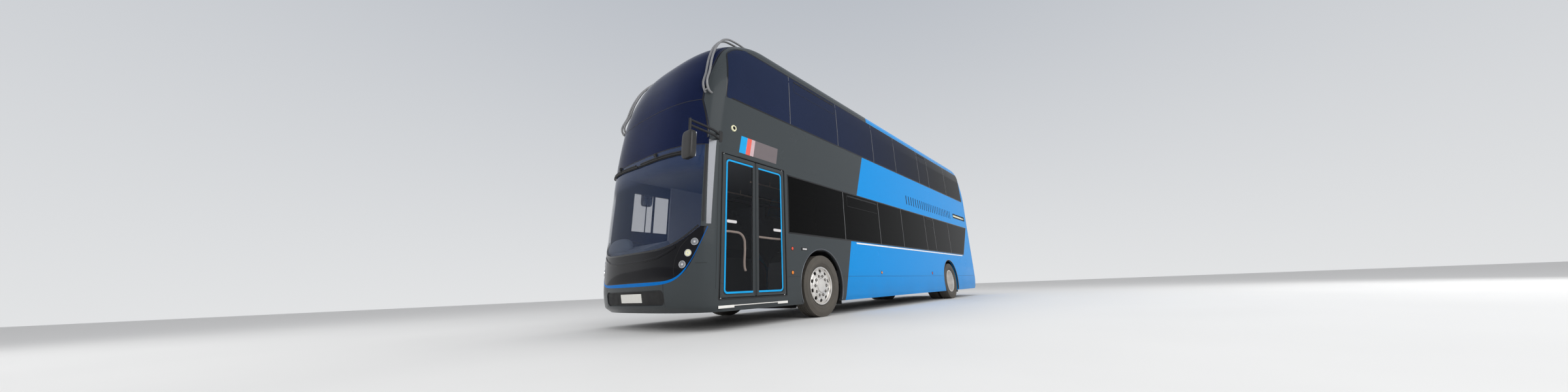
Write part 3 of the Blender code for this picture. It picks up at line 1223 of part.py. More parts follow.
def steering_wheel():
    centre = Vector(STEERING_CENTRE)
    turn = Matrix.Translation(centre) @ Matrix.Rotation(-STEERING_TILT, 4, "X")
    bm = bmesh.new()
    rings = []
    for step in range(STEERING_SEGMENTS):
        angle = 2 * math.pi * step / STEERING_SEGMENTS
        ring = []
        for part in range(STEERING_SIDES):
            around = 2 * math.pi * part / STEERING_SIDES
            radius = STEERING_RADIUS + STEERING_TUBE * math.cos(around)
            ring.append(bm.verts.new((radius * math.cos(angle), radius * math.sin(angle),
                                      STEERING_TUBE * math.sin(around))))
        rings.append(ring)
    for step in range(STEERING_SEGMENTS):
        first, second = rings[step], rings[(step + 1) % STEERING_SEGMENTS]
        for part in range(STEERING_SIDES):
            other = (part + 1) % STEERING_SIDES
            bm.faces.new((first[part], second[part], second[other], first[other]))
    bmesh.ops.recalc_face_normals(bm, faces=bm.faces)
    bmesh.ops.transform(bm, matrix=turn, verts=bm.verts)
    wheel = place("steering_wheel", mesh_from(bm, "steering_wheel"), RUBBER)
    spoke = STEERING_SPOKE
    bar = boxes("steering_spokes", [((-STEERING_RADIUS, -spoke, -spoke), (STEERING_RADIUS, spoke, spoke))])
    bar.data.transform(turn)
    hub = cylinder("steering_hub", STEERING_HUB_RADIUS, turn @ Vector((0, 0, -STEERING_HUB_HALF)),
                   turn @ Vector((0, 0, STEERING_HUB_HALF)), PIN_SEGMENTS)
    column = cylinder("steering_column", COLUMN_RADIUS, turn @ Vector((0, 0, -COLUMN_LENGTH)),
                      turn @ Vector((0, 0, 0)), PIN_SEGMENTS)
    join(wheel, bar, hub, column)
    socket = cylinder("column_socket", clear_radius(COLUMN_RADIUS, PIN_SEGMENTS),
                      turn @ Vector((0, 0, -COLUMN_LENGTH - SEAT_GAP)),
                      turn @ Vector((0, 0, COLUMN_LENGTH)), PIN_SEGMENTS)
    return socket


def rounded_head(name, size, centre):
    # A soft box, wider at its outer edge than at the arm.
    half = Vector(size) / 2
    bm = bmesh.new()
    add_box(bm, Vector(centre) - half, Vector(centre) + half)
    shell = place(name, mesh_from(bm, name))
    bevel = shell.modifiers.new("rounded", "BEVEL")
    bevel.width = min(size) / 4
    bevel.segments = 2
    return shell


def mirror(name, foot, elbow, head, size):
    # Two tubes, one above the other, from a box on the corner post to the post of the head.
    lift = Vector((0, 0, MIRROR_TUBE_PITCH))
    top = Vector((head.x, head.y, elbow.z))
    arm = tube(name, [foot, elbow, top], MIRROR_TUBE, BLACK_GLOSS)
    second = tube(name + "_upper_tube", [foot + lift, elbow + lift, top + lift], MIRROR_TUBE)
    post = tube(name + "_post", [top + lift + lift / 2, head], MIRROR_POST)
    box = Vector((MIRROR_BOX, MIRROR_BOX, MIRROR_BOX + MIRROR_TUBE_PITCH)) / 2
    middle = foot + lift / 2
    join(arm, second, post, boxes(name + "_foot", [(middle - box, middle + box)]),
         rounded_head(name + "_head", size, head))
    return cut(arm, PROUD)


def skin_x(y, z):
    # How far the outer skin stands from the middle, at a point behind the nose.
    share = z / BODY_HEIGHT
    level = max(index for index, station in enumerate(HULL_STATION_SHARES[:-1]) if station[0] <= share)
    low, high = HULL_STATION_SHARES[level:level + 2]
    mix = (share - low[0]) / (high[0] - low[0])
    nose, width, power, depth = (a + mix * (b - a) for a, b in zip(low[1:5], high[1:5]))
    ahead = max(0, 1 - (y - nose * NOSE_Y) / (depth * HALF_WIDTH))
    return width * HALF_WIDTH * (1 - ahead ** power) ** (1 / power)


def mirror_foot(side, setback):
    y, z = NOSE_Y + setback, DECK_SPLIT_Z + MIRROR_FOOT_RISE
    return Vector((side * (skin_x(y, z) - MIRROR_FOOT_SINK), y, z))


def mirrors():
    # The nearside head leads the bus; the offside one is folded back along its side.
    head_z = DECK_SPLIT_Z - MIRROR_HEAD_DROP
    reach = HALF_WIDTH + MIRROR_REACH
    foot = mirror_foot(1, MIRROR_FOOT_SETBACK)
    head = Vector((reach - MIRROR_HEAD_WIDTH / 2, NOSE_Y - MIRROR_LEAD, head_z))
    elbow = foot + Vector((MIRROR_ARM_OUT, -2 * MIRROR_ARM_OUT, 0))
    mirror("mirror_nearside", foot, elbow, head,
           (MIRROR_HEAD_WIDTH, MIRROR_HEAD_DEPTH, MIRROR_HEAD_HEIGHT))
    foot = mirror_foot(-1, FOLDED_FOOT_SETBACK)
    head = Vector((MIRROR_HEAD_DEPTH / 2 - reach, NOSE_Y + FOLDED_HEAD_SETBACK, head_z))
    elbow = foot + Vector((head.x - foot.x, MIRROR_ARM_OUT, 0))
    mirror("mirror_offside", foot, elbow, head,
           (MIRROR_HEAD_DEPTH, MIRROR_HEAD_WIDTH, MIRROR_HEAD_HEIGHT))


def guard_rails():
    # Each rail is a loop of two tubes that stand off the corner and land on the roof.
    for name, side in SIDES:
        rail = None
        for line, inward in (("", 0), ("_inner_tube", GUARD_PITCH)):
            points = [Vector((side * (x * HALF_WIDTH - inward), y * NOSE_Y, z * BODY_HEIGHT))
                      for x, y, z in GUARD_SHARES]
            rail_tube = tube(f"guard_rail_{name}{line}", points, GUARD_TUBE, None if inward else RAIL_GREY)
            if rail:
                cross = [tube(f"guard_cross_{name}_{index}", [ends[index], points[index]], GUARD_TUBE)
                         for index in (1, len(points) - 3)]
                cut(join(rail, rail_tube, *cross), PROUD)
            rail, ends = rail_tube, points


def wipers():
    # Two blades end to end across the top of the screen, with an arm and its boss each.
    level = DECK_SPLIT_Z - WIPER_DROP
    front = NOSE_Y - WIPER_STAND
    edge = WIPER_HALF_WIDTH * HALF_WIDTH
    blade = tube("wipers", [Vector((-edge, NOSE_Y + WIPER_OFFSET, level)), Vector((-edge / 2, front, level)),
                            Vector((0, front, level)), Vector((edge / 2, front, level)),
                            Vector((edge - WIPER_OFFSET, NOSE_Y + WIPER_OFFSET / 2, level))], WIPER_TUBE, RUBBER)
    fittings = []
    for index, x in enumerate((-edge / 2, edge / 2)):
        boss = (x - WIPER_OFFSET, front + WIPER_TUBE, level + WIPER_OFFSET)
        fittings.append(tube(f"wiper_arm_{index}", [(x, front, level), boss], WIPER_TUBE))
        fittings.append(cylinder(f"wiper_boss_{index}", WIPER_BOSS_RADIUS,
                                 (x - WIPER_OFFSET, front, level + WIPER_OFFSET),
                                 (x - WIPER_OFFSET, NOSE_Y + 2 * WALL, level + WIPER_OFFSET), PIN_SEGMENTS))
    cut(join(blade, *fittings), PROUD)


lower_side("nearside_lower_side", 1, BODY_GREY)
lower_side("offside_lower_side", -1, BODY_GREY)
upper_side("nearside_upper_side", 1, BODY_GREY)
upper_side("offside_upper_side", -1, BODY_GREY)
for side_name, side_sign in SIDES:
    for deck_name in ("lower", "upper"):
        side_glass(f"{side_name}_{deck_name}_glass", deck_name, side_sign)
front_panels()
upper_front_glass()
roof_panel()
rear_end()
doors()
lower_floor()
upper_floor()
staircase()
chassis()
front_axle()
knuckles()
track_rod()
rear_axle()
wheels()
engine()
upper_seats()
lower_seats()
driver_cab()
cut(parts.objects["dashboard"], steering_wheel())
mirrors()
guard_rails()
wipers()

for built in parts.objects:
    if any(step.type == "BOOLEAN" for step in built.modifiers):
        flatten(built)

# The box of the whole bus is centred on the origin: the mirror leads and the tail ends it.
FOREMOST_Y = NOSE_Y - MIRROR_LEAD - MIRROR_HEAD_DEPTH / 2
shift = -(FOREMOST_Y + TAIL_Y) / 2
for built in list(parts.objects) + list(cutters.objects):
    built.location.y += shift
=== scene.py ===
import math

import bmesh
import bpy
from mathutils import Matrix, Vector


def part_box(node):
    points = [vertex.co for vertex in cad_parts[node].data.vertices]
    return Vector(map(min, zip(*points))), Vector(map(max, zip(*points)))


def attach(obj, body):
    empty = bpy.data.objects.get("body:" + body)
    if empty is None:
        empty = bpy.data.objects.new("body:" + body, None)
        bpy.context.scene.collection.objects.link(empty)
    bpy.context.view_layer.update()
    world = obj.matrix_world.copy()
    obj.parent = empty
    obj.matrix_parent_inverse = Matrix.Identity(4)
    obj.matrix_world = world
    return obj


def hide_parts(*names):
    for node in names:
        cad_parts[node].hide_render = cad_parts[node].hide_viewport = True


# Looks of the double-decker bus. Metres, front towards -Y, passenger door towards +X.

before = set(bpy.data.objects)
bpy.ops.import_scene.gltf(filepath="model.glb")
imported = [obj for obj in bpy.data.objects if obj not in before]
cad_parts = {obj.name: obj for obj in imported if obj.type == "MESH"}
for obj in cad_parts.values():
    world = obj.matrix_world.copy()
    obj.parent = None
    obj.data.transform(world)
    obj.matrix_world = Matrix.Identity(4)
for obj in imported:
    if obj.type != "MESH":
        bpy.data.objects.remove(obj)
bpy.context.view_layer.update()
scene = bpy.context.scene
spent = []  # cutters and guides, removed once they have done their work
weldWithin = 0.00005
sideways = Matrix.Rotation(math.pi / 2, 4, "Y")  # lays along X what is drawn round Z
print("frame loaded")


# Small tools
def putInScene(name, mesh, finish=None):
    made = bpy.data.objects.new(name, mesh)
    scene.collection.objects.link(made)
    if finish:
        mesh.materials.clear()
        mesh.materials.append(finish)
    return made


def fromBmesh(name, bm, finish=None):
    mesh = bpy.data.meshes.new(name)
    bm.to_mesh(mesh)
    bm.free()
    return putInScene(name, mesh, finish)


def softShade(mesh, angle=32):
    mesh.shade_smooth()
    mesh.set_sharp_from_angle(angle=math.radians(angle))


def evaluated(obj):
    bpy.context.view_layer.update()
    graph = bpy.context.evaluated_depsgraph_get()
    return bpy.data.meshes.new_from_object(obj.evaluated_get(graph))


def bakeShape(obj, angle=32):
    # the evaluated mesh in place of the modifiers, with the object back at the origin
    mesh = evaluated(obj)
    mesh.transform(obj.matrix_world)
    obj.modifiers.clear()
    obj.data = mesh
    obj.matrix_world = Matrix()
    softShade(mesh, angle)
    return obj


def roundEdges(obj, width, segments=2, angle=32):
    step = obj.modifiers.new("edge", "BEVEL")
    step.width = width
    step.segments = segments
    return bakeShape(obj, angle)


def mendFaces(mesh, weld=0):
    bm = bmesh.new()
    bm.from_mesh(mesh)
    if weld:
        bmesh.ops.remove_doubles(bm, verts=bm.verts, dist=weld)
    bmesh.ops.recalc_face_normals(bm, faces=bm.faces)
    bm.to_mesh(mesh)
    bm.free()


def bridge(bm, rings, closed=False):
    # faces between rings that have the same number of corners
    for lower, upper in list(zip(rings, rings[1:])) + ([(rings[-1], rings[0])] if closed else []):
        for step in range(len(lower)):
            after = (step + 1) % len(lower)
            bm.faces.new((lower[step], lower[after], upper[after], upper[step]))


def carve(obj, keeps=(), cuts=()):
    for operation, others in (("INTERSECT", keeps), ("DIFFERENCE", cuts)):
        for other in others:
            step = obj.modifiers.new(operation, "BOOLEAN")
            step.operation = operation
            step.object = other
            step.solver = "EXACT"
            if other not in spent:
                spent.append(other)
    return bakeShape(obj)


def addBlock(bm, low, high):
    size = Vector(high) - Vector(low)
    matrix = Matrix.Translation((Vector(high) + Vector(low)) / 2) @ Matrix.Diagonal((*size, 1))
    return bmesh.ops.create_cube(bm, size=1, matrix=matrix)["verts"]


def blocks(name, corners, finish=None):
    bm = bmesh.new()
    for low, high in corners:
        addBlock(bm, low, high)
    return fromBmesh(name, bm, finish)


def softBlocks(name, corners, finish, edge=0.004, segments=2):
    # blocks with their edges rounded
    return roundEdges(blocks(name, corners, finish), edge, segments, 40)


def softRows(*rows):
    # rounded blocks, each with its name, two corners, finish and edge
    return [softBlocks(name, [(low, high)], finish, *more) for name, low, high, finish, *more in rows]


def prism(name, outline, axis, low, high, finish=None):
    def spot(point, along):
        return {"X": (along, *point), "Y": (point[0], along, point[1]), "Z": (*point, along)}[axis]
    bm = bmesh.new()
    rings = [[bm.verts.new(spot(point, along)) for point in outline] for along in (low, high)]
    bm.faces.new(rings[0])
    bm.faces.new(reversed(rings[1]))
    bridge(bm, rings)
    bmesh.ops.recalc_face_normals(bm, faces=bm.faces)
    return fromBmesh(name, bm, finish)


def pipe(name, points, radius, finish=None, bent=True, roundness=3):
    curve = bpy.data.curves.new(name, "CURVE")
    curve.dimensions = "3D"
    curve.bevel_depth = radius
    curve.bevel_resolution = roundness
    curve.resolution_u = 8
    curve.use_fill_caps = True
    spline = curve.splines.new("BEZIER" if bent else "POLY")
    own = spline.bezier_points if bent else spline.points
    own.add(len(points) - 1)
    for point, spot in zip(own, points):
        if bent:
            point.co = spot
            point.handle_left_type = point.handle_right_type = "AUTO"
        else:
            point.co = (*spot, 1)
    guide = putInScene(name + "Guide", curve)
    mesh = evaluated(guide)
    bpy.data.objects.remove(guide)
    mendFaces(mesh, weldWithin)
    softShade(mesh, 50)
    return putInScene(name, mesh, finish)


def lathe(name, profile, finish=None, steps=96):
    # (radius, height) down the outer side, turned round Z
    bm = bmesh.new()
    spots = [bm.verts.new((radius, 0, height)) for radius, height in profile]
    for first, second in zip(spots, spots[1:]):
        bm.edges.new((first, second))
    if profile[0][0] or profile[-1][0]:
        bm.edges.new((spots[-1], spots[0]))
    made = fromBmesh(name, bm, finish)
    turn = made.modifiers.new("turn", "SCREW")
    turn.steps = turn.render_steps = steps
    turn.use_merge_vertices = True
    turn.merge_threshold = weldWithin
    turn.use_normal_calculate = False
    bakeShape(made)
    mendFaces(made.data)
    return made


def facing(spot, normal):
    # moves a shape drawn round Z to a spot, where it stands out along a normal
    turn = Vector((0, 0, 1)).rotation_difference(Vector(normal)).to_matrix().to_4x4()
    return Matrix.Translation(spot) @ turn


def merge(name, pieces):
    # several meshes as one, each with its own finish kept
    bm = bmesh.new()
    mesh = bpy.data.meshes.new(name)
    finishes = []
    for piece in pieces:
        for finish in piece.data.materials:
            if finish not in finishes:
                finishes.append(finish)
    for piece in pieces:
        start = len(bm.faces)
        bm.from_mesh(piece.data)
        bm.faces.ensure_lookup_table()
        order = [finishes.index(finish) for finish in piece.data.materials]
        for face in bm.faces[start:]:
            face.material_index = order[min(face.material_index, len(order) - 1)] if order else 0
    bm.to_mesh(mesh)
    bm.free()
    for piece in pieces:
        bpy.data.objects.remove(piece)
    made = putInScene(name, mesh)
    for finish in finishes:
        mesh.materials.append(finish)
    return made


def settle(piece, finishSlot, *nodes, body="bus_body"):
    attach(piece, body)
    if nodes:
        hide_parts(*nodes)
    return piece


def nodeMaker(tree):
    # a node given as a feed stands for its first output
    def add(kind, feeds=None, **settings):
        made = tree.nodes.new(kind if "Node" in kind else "ShaderNode" + kind)
        for key, value in settings.items():
            setattr(made, key, value)
        for key, value in (feeds or {}).items():
            if isinstance(value, bpy.types.Node):
                value = value.outputs[0]
            if isinstance(value, bpy.types.NodeSocket):
                tree.links.new(value, made.inputs[key])
            else:
                made.inputs[key].default_value = value
        return made
    return add


# Finishes
def newFinish(name, colour, roughness, metallic=0.0, alpha=1.0, **more):
    made = bpy.data.materials.new(name)
    made.use_nodes = True
    shader = made.node_tree.nodes["Principled BSDF"]
    values = {"Base Color": (*colour, 1), "Roughness": roughness, "Metallic": metallic, "Alpha": alpha}
    values.update(more)
    for key, value in values.items():
        shader.inputs[key].default_value = value
    return made


def openFinish(finish):
    # the tree, its maker, the shader's inputs and the object's own coordinates
    tree = finish.node_tree
    add = nodeMaker(tree)
    return tree, add, tree.nodes["Principled BSDF"].inputs, add("TexCoord").outputs["Object"]


def blend(add, share, first, second):
    # two colours or outputs mixed by a share
    first, second = ((*tone, 1) if isinstance(tone, tuple) else tone for tone in (first, second))
    return add("Mix", {0: share, 6: first, 7: second}, data_type="RGBA").outputs[2]


def emboss(tree, add, height, strength, distance=0.002, **settings):
    raised = add("Bump", {"Strength": strength, "Distance": distance, "Height": height}, **settings)
    tree.links.new(raised.outputs[0], tree.nodes["Principled BSDF"].inputs["Normal"])


def unevenGloss(tree, add, clouds, low, high):
    gloss = add("MapRange", {0: clouds, 1: 0.3, 2: 0.7, 3: low, 4: high})
    tree.links.new(gloss.outputs[0], tree.nodes["Principled BSDF"].inputs["Roughness"])


def fadeBetween(add, along, start, stop, low, high):
    return add("MapRange", {0: along, 1: start, 2: stop, 3: low, 4: high}, interpolation_type="SMOOTHSTEP")


def grain(finish, scale, shift=0.06, rough=(0.3, 0.45), bump=0.05, bumpScale=None, stretch=(1, 1, 1)):
    # cloudy colour, uneven gloss and a fine surface
    tree, add, inputs, coords = openFinish(finish)
    place = add("Mapping", {"Vector": coords, "Scale": stretch})
    clouds = add("TexNoise", {"Vector": place, "Scale": scale, "Detail": 5.0})
    colour = inputs["Base Color"]
    if colour.is_linked:
        light = colour.links[0].from_socket
        dark = blend(add, 1 - 1.6 * shift, (0, 0, 0), light)
    else:
        dark, light = (tuple(min(1, value * (1 + way * shift * 2)) for value in colour.default_value[:3])
                       for way in (-1, 1))
    tree.links.new(blend(add, clouds, dark, light), colour)
    unevenGloss(tree, add, clouds, *rough)
    if bump:
        fine = add("TexNoise", {"Vector": place, "Scale": bumpScale or scale * 12, "Detail": 3.0})
        emboss(tree, add, fine, bump)
    return finish


def shadeBand(finish, low, high, clear, dark):
    # glass that darkens to an opaque band between two heights
    grain(finish, 1.0, 0.2, (0.02, 0.05), 0)
    tree, add, inputs, coords = openFinish(finish)
    height = add("SeparateXYZ", {0: coords}).outputs[2]
    tree.links.new(fadeBetween(add, height, low, high, clear, dark).outputs[0], inputs["Alpha"])
    return finish


def navyAhead(finish, colour, front, rear):
    # dark glass that turns bluer towards the front
    tree, add, inputs, coords = openFinish(finish)
    along = add("SeparateXYZ", {0: coords}).outputs[1]
    own = tuple(inputs["Base Color"].default_value)[:3]
    tree.links.new(blend(add, fadeBetween(add, along, front, rear, 0.0, 1.0), colour, own), inputs["Base Color"])
    return grain(finish, 1.2, 0.1, (0.02, 0.05), 0.01, 2.5)


livery = {
    "grey": (0.050, 0.058, 0.062),
    "blue": (0.0, 0.258, 0.67),
    "edge": ((0.0, -2.56), (0.22, -2.44), (1.26, -2.12), (2.20, -1.78), (3.10, -1.42), (4.10, -1.03),
             (4.40, -0.92)),
    "reach": 4.4,
}


def bodyPaint():
    # grey in front of a raked edge, blue behind it, under a clear coat with road film low down
    made = newFinish("bodyPaint", livery["grey"], 0.22, 0.0, **{"Coat Weight": 0.07, "Coat Roughness": 0.02,
                                                               "Specular IOR Level": 0.10})
    tree, add, inputs, coords = openFinish(made)
    along, height = add("SeparateXYZ", {0: coords}).outputs[1:3]
    share = add("Math", {0: height, 1: livery["reach"]}, operation="DIVIDE")
    curve = add("FloatCurve", {1: share})
    points = curve.mapping.curves[0].points
    rake = [(z / livery["reach"], (y + 3) / 3) for z, y in livery["edge"]]
    for number, spot in enumerate(rake):
        point = points[number] if number < 2 else points.new(*spot)
        point.location = spot
        point.handle_type = "VECTOR"
    curve.mapping.update()
    edge = add("Math", {0: curve, 1: 3.0, 2: -3.0}, operation="MULTIPLY_ADD")
    behind = add("Math", {0: along, 1: edge}, operation="GREATER_THAN")
    tint = blend(add, behind, livery["grey"], livery["blue"])
    clouds = add("TexNoise", {"Vector": coords, "Scale": 2.2, "Detail": 6.0})
    low = add("MapRange", {0: height, 1: 0.22, 2: 0.75, 3: 0.34, 4: 0.0})
    film = add("Math", {0: clouds, 1: low}, operation="MULTIPLY")
    tree.links.new(blend(add, film, tint, (0.05, 0.05, 0.047)), inputs["Base Color"])
    unevenGloss(tree, add, clouds, 0.20, 0.28)
    emboss(tree, add, add("TexNoise", {"Vector": coords, "Scale": 240.0, "Detail": 1.0}), 0.03, 0.001)
    return made


def weave(name, colour, second, size=260.0):
    # moquette: two crossed ribs with a loose fleck of the second colour, the rib crests lighter as a painted
    # highlight
    made = newFinish(name, colour, 0.9, **{"Sheen Weight": 0.35, "Sheen Roughness": 0.5})
    tree, add, inputs, coords = openFinish(made)
    ribs = [add("TexWave", {"Vector": coords, "Scale": size, "Distortion": 1.0, "Detail": 1.0}, bands_direction=way)
            for way in ("X", "Z")]
    cross = add("Math", {0: ribs[0].outputs[1], 1: ribs[1].outputs[1]}, operation="MULTIPLY")
    fleck = add("TexVoronoi", {"Vector": coords, "Scale": 46.0})
    patch = add("MapRange", {0: fleck, 1: 0.18, 2: 0.30, 3: 1.0, 4: 0.0})
    # the rib crests half as light again: a painted highlight on the raised weave
    lit = tuple(value * 1.5 for value in colour)
    tree.links.new(blend(add, cross, blend(add, patch, colour, second), lit), inputs["Base Color"])
    emboss(tree, add, cross, 0.35)
    return made


def rubberFloor():
    # studded safety floor: a fine round stud and a cloudy grey
    made = grain(newFinish("rubberFloor", (0.10, 0.105, 0.115), 0.7), 5.0, 0.12, (0.6, 0.8), 0)
    tree, add, _, coords = openFinish(made)
    studs = add("TexVoronoi", {"Vector": coords, "Scale": 32.0, "Randomness": 0.0})
    emboss(tree, add, studs, 0.25, invert=True)
    return made


def mixed(name, colour, roughness, metallic, *clouds, alpha=1.0, **inputs):
    return grain(newFinish(name, colour, roughness, metallic, alpha, **inputs), *clouds)


coat = {"Coat Weight": 0.5, "Coat Roughness": 0.02}
quiet = {"Specular IOR Level": 0.28}
dull = {"Specular IOR Level": 0.06}
glossy = {"Specular IOR Level": 0.17}
paint = bodyPaint()
blackGloss = mixed("blackGloss", (0.004, 0.004, 0.006), 0.05, 0.0, 3.0, 0.2, (0.04, 0.08), 0, **glossy)
frit = mixed("frit", (0.004, 0.004, 0.005), 0.06, 0.0, 4.0, 0.1, (0.04, 0.08), 0)
sideGlass = mixed("sideGlass", (0.002, 0.002, 0.002), 0.03, 0.0, 1.2, 0.2, (0.02, 0.05), 0.01, 2.5, alpha=0.93,
                  **dull)
upperGlass = navyAhead(newFinish("upperGlass", (0.0035, 0.004, 0.005), 0.03, 0.0, 0.92, **dull),
                       (0.018, 0.027, 0.064), -4.0, 4.5)
doorGlass = mixed("doorGlass", (0.006, 0.007, 0.009), 0.03, 0.0, 1.2, 0.2, (0.02, 0.05), 0, alpha=0.30, **quiet)
cabGlass = mixed("cabGlass", (0.16, 0.22, 0.34), 0.03, 0.0, 1.2, 0.2, (0.02, 0.05), 0, alpha=0.10)
screenGlass = shadeBand(newFinish("screenGlass", (0.024, 0.042, 0.100), 0.03, 0.0, 1.0, **quiet), 1.90, 2.20, 0.27,
                        0.88)
upperScreen = mixed("upperScreen", (0.009, 0.015, 0.052), 0.04, 0.0, 1.0, 0.25, (0.03, 0.06), 0, alpha=0.86, **dull)
alloy = mixed("alloy", (0.80, 0.77, 0.73), 0.34, 0.8, 9.0, 0.10, (0.28, 0.44), 0.03, 90.0)
hubSteel = mixed("hubSteel", (0.50, 0.48, 0.46), 0.32, 0.9, 14.0, 0.10, (0.25, 0.42), 0.05, 120.0)
recess = mixed("recess", (0.008, 0.008, 0.008), 0.7, 0.0, 8.0, 0.2, (0.6, 0.8), 0.05)
tyreRubber = mixed("tyreRubber", (0.085, 0.076, 0.064), 0.8, 0.0, 7.0, 0.22, (0.72, 0.92), 0.25, 160.0)
seal = mixed("seal", (0.012, 0.012, 0.013), 0.55, 0.0, 12.0, 0.15, (0.5, 0.65), 0.1, 200.0)
chrome = mixed("chrome", (0.82, 0.82, 0.84), 0.08, 1.0, 6.0, 0.05, (0.05, 0.12), 0)
brushed = mixed("brushed", (0.62, 0.62, 0.62), 0.3, 1.0, 6.0, 0.06, (0.25, 0.4), 0.05, 200.0, (1, 0.05, 1))
railGrey = mixed("railGrey", (0.25, 0.25, 0.255), 0.35, 0.3, 8.0, 0.1, (0.28, 0.42), 0.04, 150.0)
pillarGrey = mixed("pillarGrey", (0.13, 0.14, 0.155), 0.15, 0.6, 3.0, 0.08, (0.12, 0.2), 0.01, **coat)
# a lighter silver-grey than the body paint, laid on the front corners as a painted highlight
postSilver = mixed("postSilver", (0.20, 0.205, 0.22), 0.25, 0.5, 3.0, 0.08, (0.2, 0.3), 0.01)
chassisBlack = mixed("chassisBlack", (0.022, 0.021, 0.020), 0.55, 0.2, 6.0, 0.3, (0.45, 0.75), 0.3, 60.0)
castIron = mixed("castIron", (0.045, 0.042, 0.040), 0.6, 0.5, 8.0, 0.3, (0.5, 0.75), 0.4, 70.0)
maskBlue = mixed("maskBlue", (0.0, 0.15, 0.50), 0.35, 0.0, 9.0, 0.05, (0.3, 0.4), 0, **dull)
trimGrey = mixed("trimGrey", (0.13, 0.14, 0.16), 0.6, 0.0, 6.0, 0.08, (0.5, 0.68), 0.25, 260.0)
dashGrey = mixed("dashGrey", (0.13, 0.16, 0.21), 0.55, 0.0, 6.0, 0.1, (0.45, 0.62), 0.3, 300.0)
liningPale = mixed("liningPale", (0.34, 0.36, 0.40), 0.65, 0.0, 4.0, 0.05, (0.55, 0.7), 0.1, 180.0)
gripRubber = mixed("gripRubber", (0.010, 0.010, 0.011), 0.45, 0.0, 10.0, 0.15, (0.38, 0.55), 0.3, 320.0)
cyanTape = mixed("cyanTape", (0.0, 0.34, 0.72), 0.35, 0.0, 9.0, 0.05, (0.3, 0.4), 0, **quiet)
flankTape = mixed("flankTape", (0.002, 0.085, 0.32), 0.35, 0.0, 9.0, 0.05, (0.3, 0.4), 0, **dull)
whiteTape = mixed("whiteTape", (0.82, 0.80, 0.76), 0.45, 0.0, 9.0, 0.04, (0.4, 0.5), 0)
paleLabel = mixed("paleLabel", (0.62, 0.60, 0.60), 0.4, 0.0, 30.0, 0.06, (0.35, 0.45), 0)
coralTape = mixed("coralTape", (0.76, 0.11, 0.08), 0.4, 0.0, 9.0, 0.05, (0.35, 0.45), 0)
pinkTape = mixed("pinkTape", (0.56, 0.40, 0.42), 0.4, 0.0, 9.0, 0.05, (0.35, 0.45), 0)
plateGrey = mixed("plateGrey", (0.145, 0.120, 0.125), 0.45, 0.0, 9.0, 0.05, (0.4, 0.5), 0)
copperRail = mixed("copperRail", (1.0, 0.76, 0.66), 0.35, 0.0, 9.0, 0.05, (0.3, 0.4), 0.03)
underSeal = mixed("underSeal", (0.012, 0.012, 0.012), 0.75, 0.0, 9.0, 0.25, (0.65, 0.85), 0.4, 120.0)
amberLens = mixed("amberLens", (0.80, 0.22, 0.01), 0.12, 0.0, 30.0, 0.15, (0.08, 0.16), 0.2, 160.0, **coat)
redLens = mixed("redLens", (0.55, 0.01, 0.01), 0.12, 0.0, 30.0, 0.15, (0.08, 0.16), 0.2, 160.0, **coat)
clearLens = mixed("clearLens", (0.30, 0.31, 0.33), 0.08, 0.0, 20.0, 0.1, (0.05, 0.1), 0.1, 90.0, alpha=0.75,
                  **quiet)
creamLens = mixed("creamLens", (0.80, 0.77, 0.52), 0.15, 0.0, 26.0, 0.12, (0.1, 0.18), 0.1, 120.0, **coat)
buttonRed = mixed("buttonRed", (0.70, 0.07, 0.03), 0.35, 0.0, 20.0, 0.08, (0.3, 0.4), 0)
plateBlank = mixed("plateBlank", (0.72, 0.71, 0.66), 0.4, 0.0, 12.0, 0.04, (0.35, 0.45), 0.02)
displayNavy = mixed("displayNavy", (0.010, 0.018, 0.060), 0.35, 0.0, 8.0, 0.15, (0.3, 0.45), 0.05, 400.0)
mirrorFace = mixed("mirrorFace", (0.72, 0.74, 0.76), 0.03, 1.0, 3.0, 0.03, (0.02, 0.04), 0)
mirrorShell = mixed("mirrorShell", (0.020, 0.019, 0.018), 0.35, 0.0, 12.0, 0.15, (0.28, 0.42), 0.2, 260.0)
nosing = mixed("nosing", (0.80, 0.58, 0.04), 0.6, 0.0, 20.0, 0.1, (0.5, 0.7), 0.3, 200.0)
moquette = weave("moquette", (0.018, 0.035, 0.12), (0.0, 0.16, 0.36))
driverCloth = weave("driverCloth", (0.022, 0.024, 0.030), (0.05, 0.06, 0.08))
floorVinyl = rubberFloor()
print("finishes mixed")


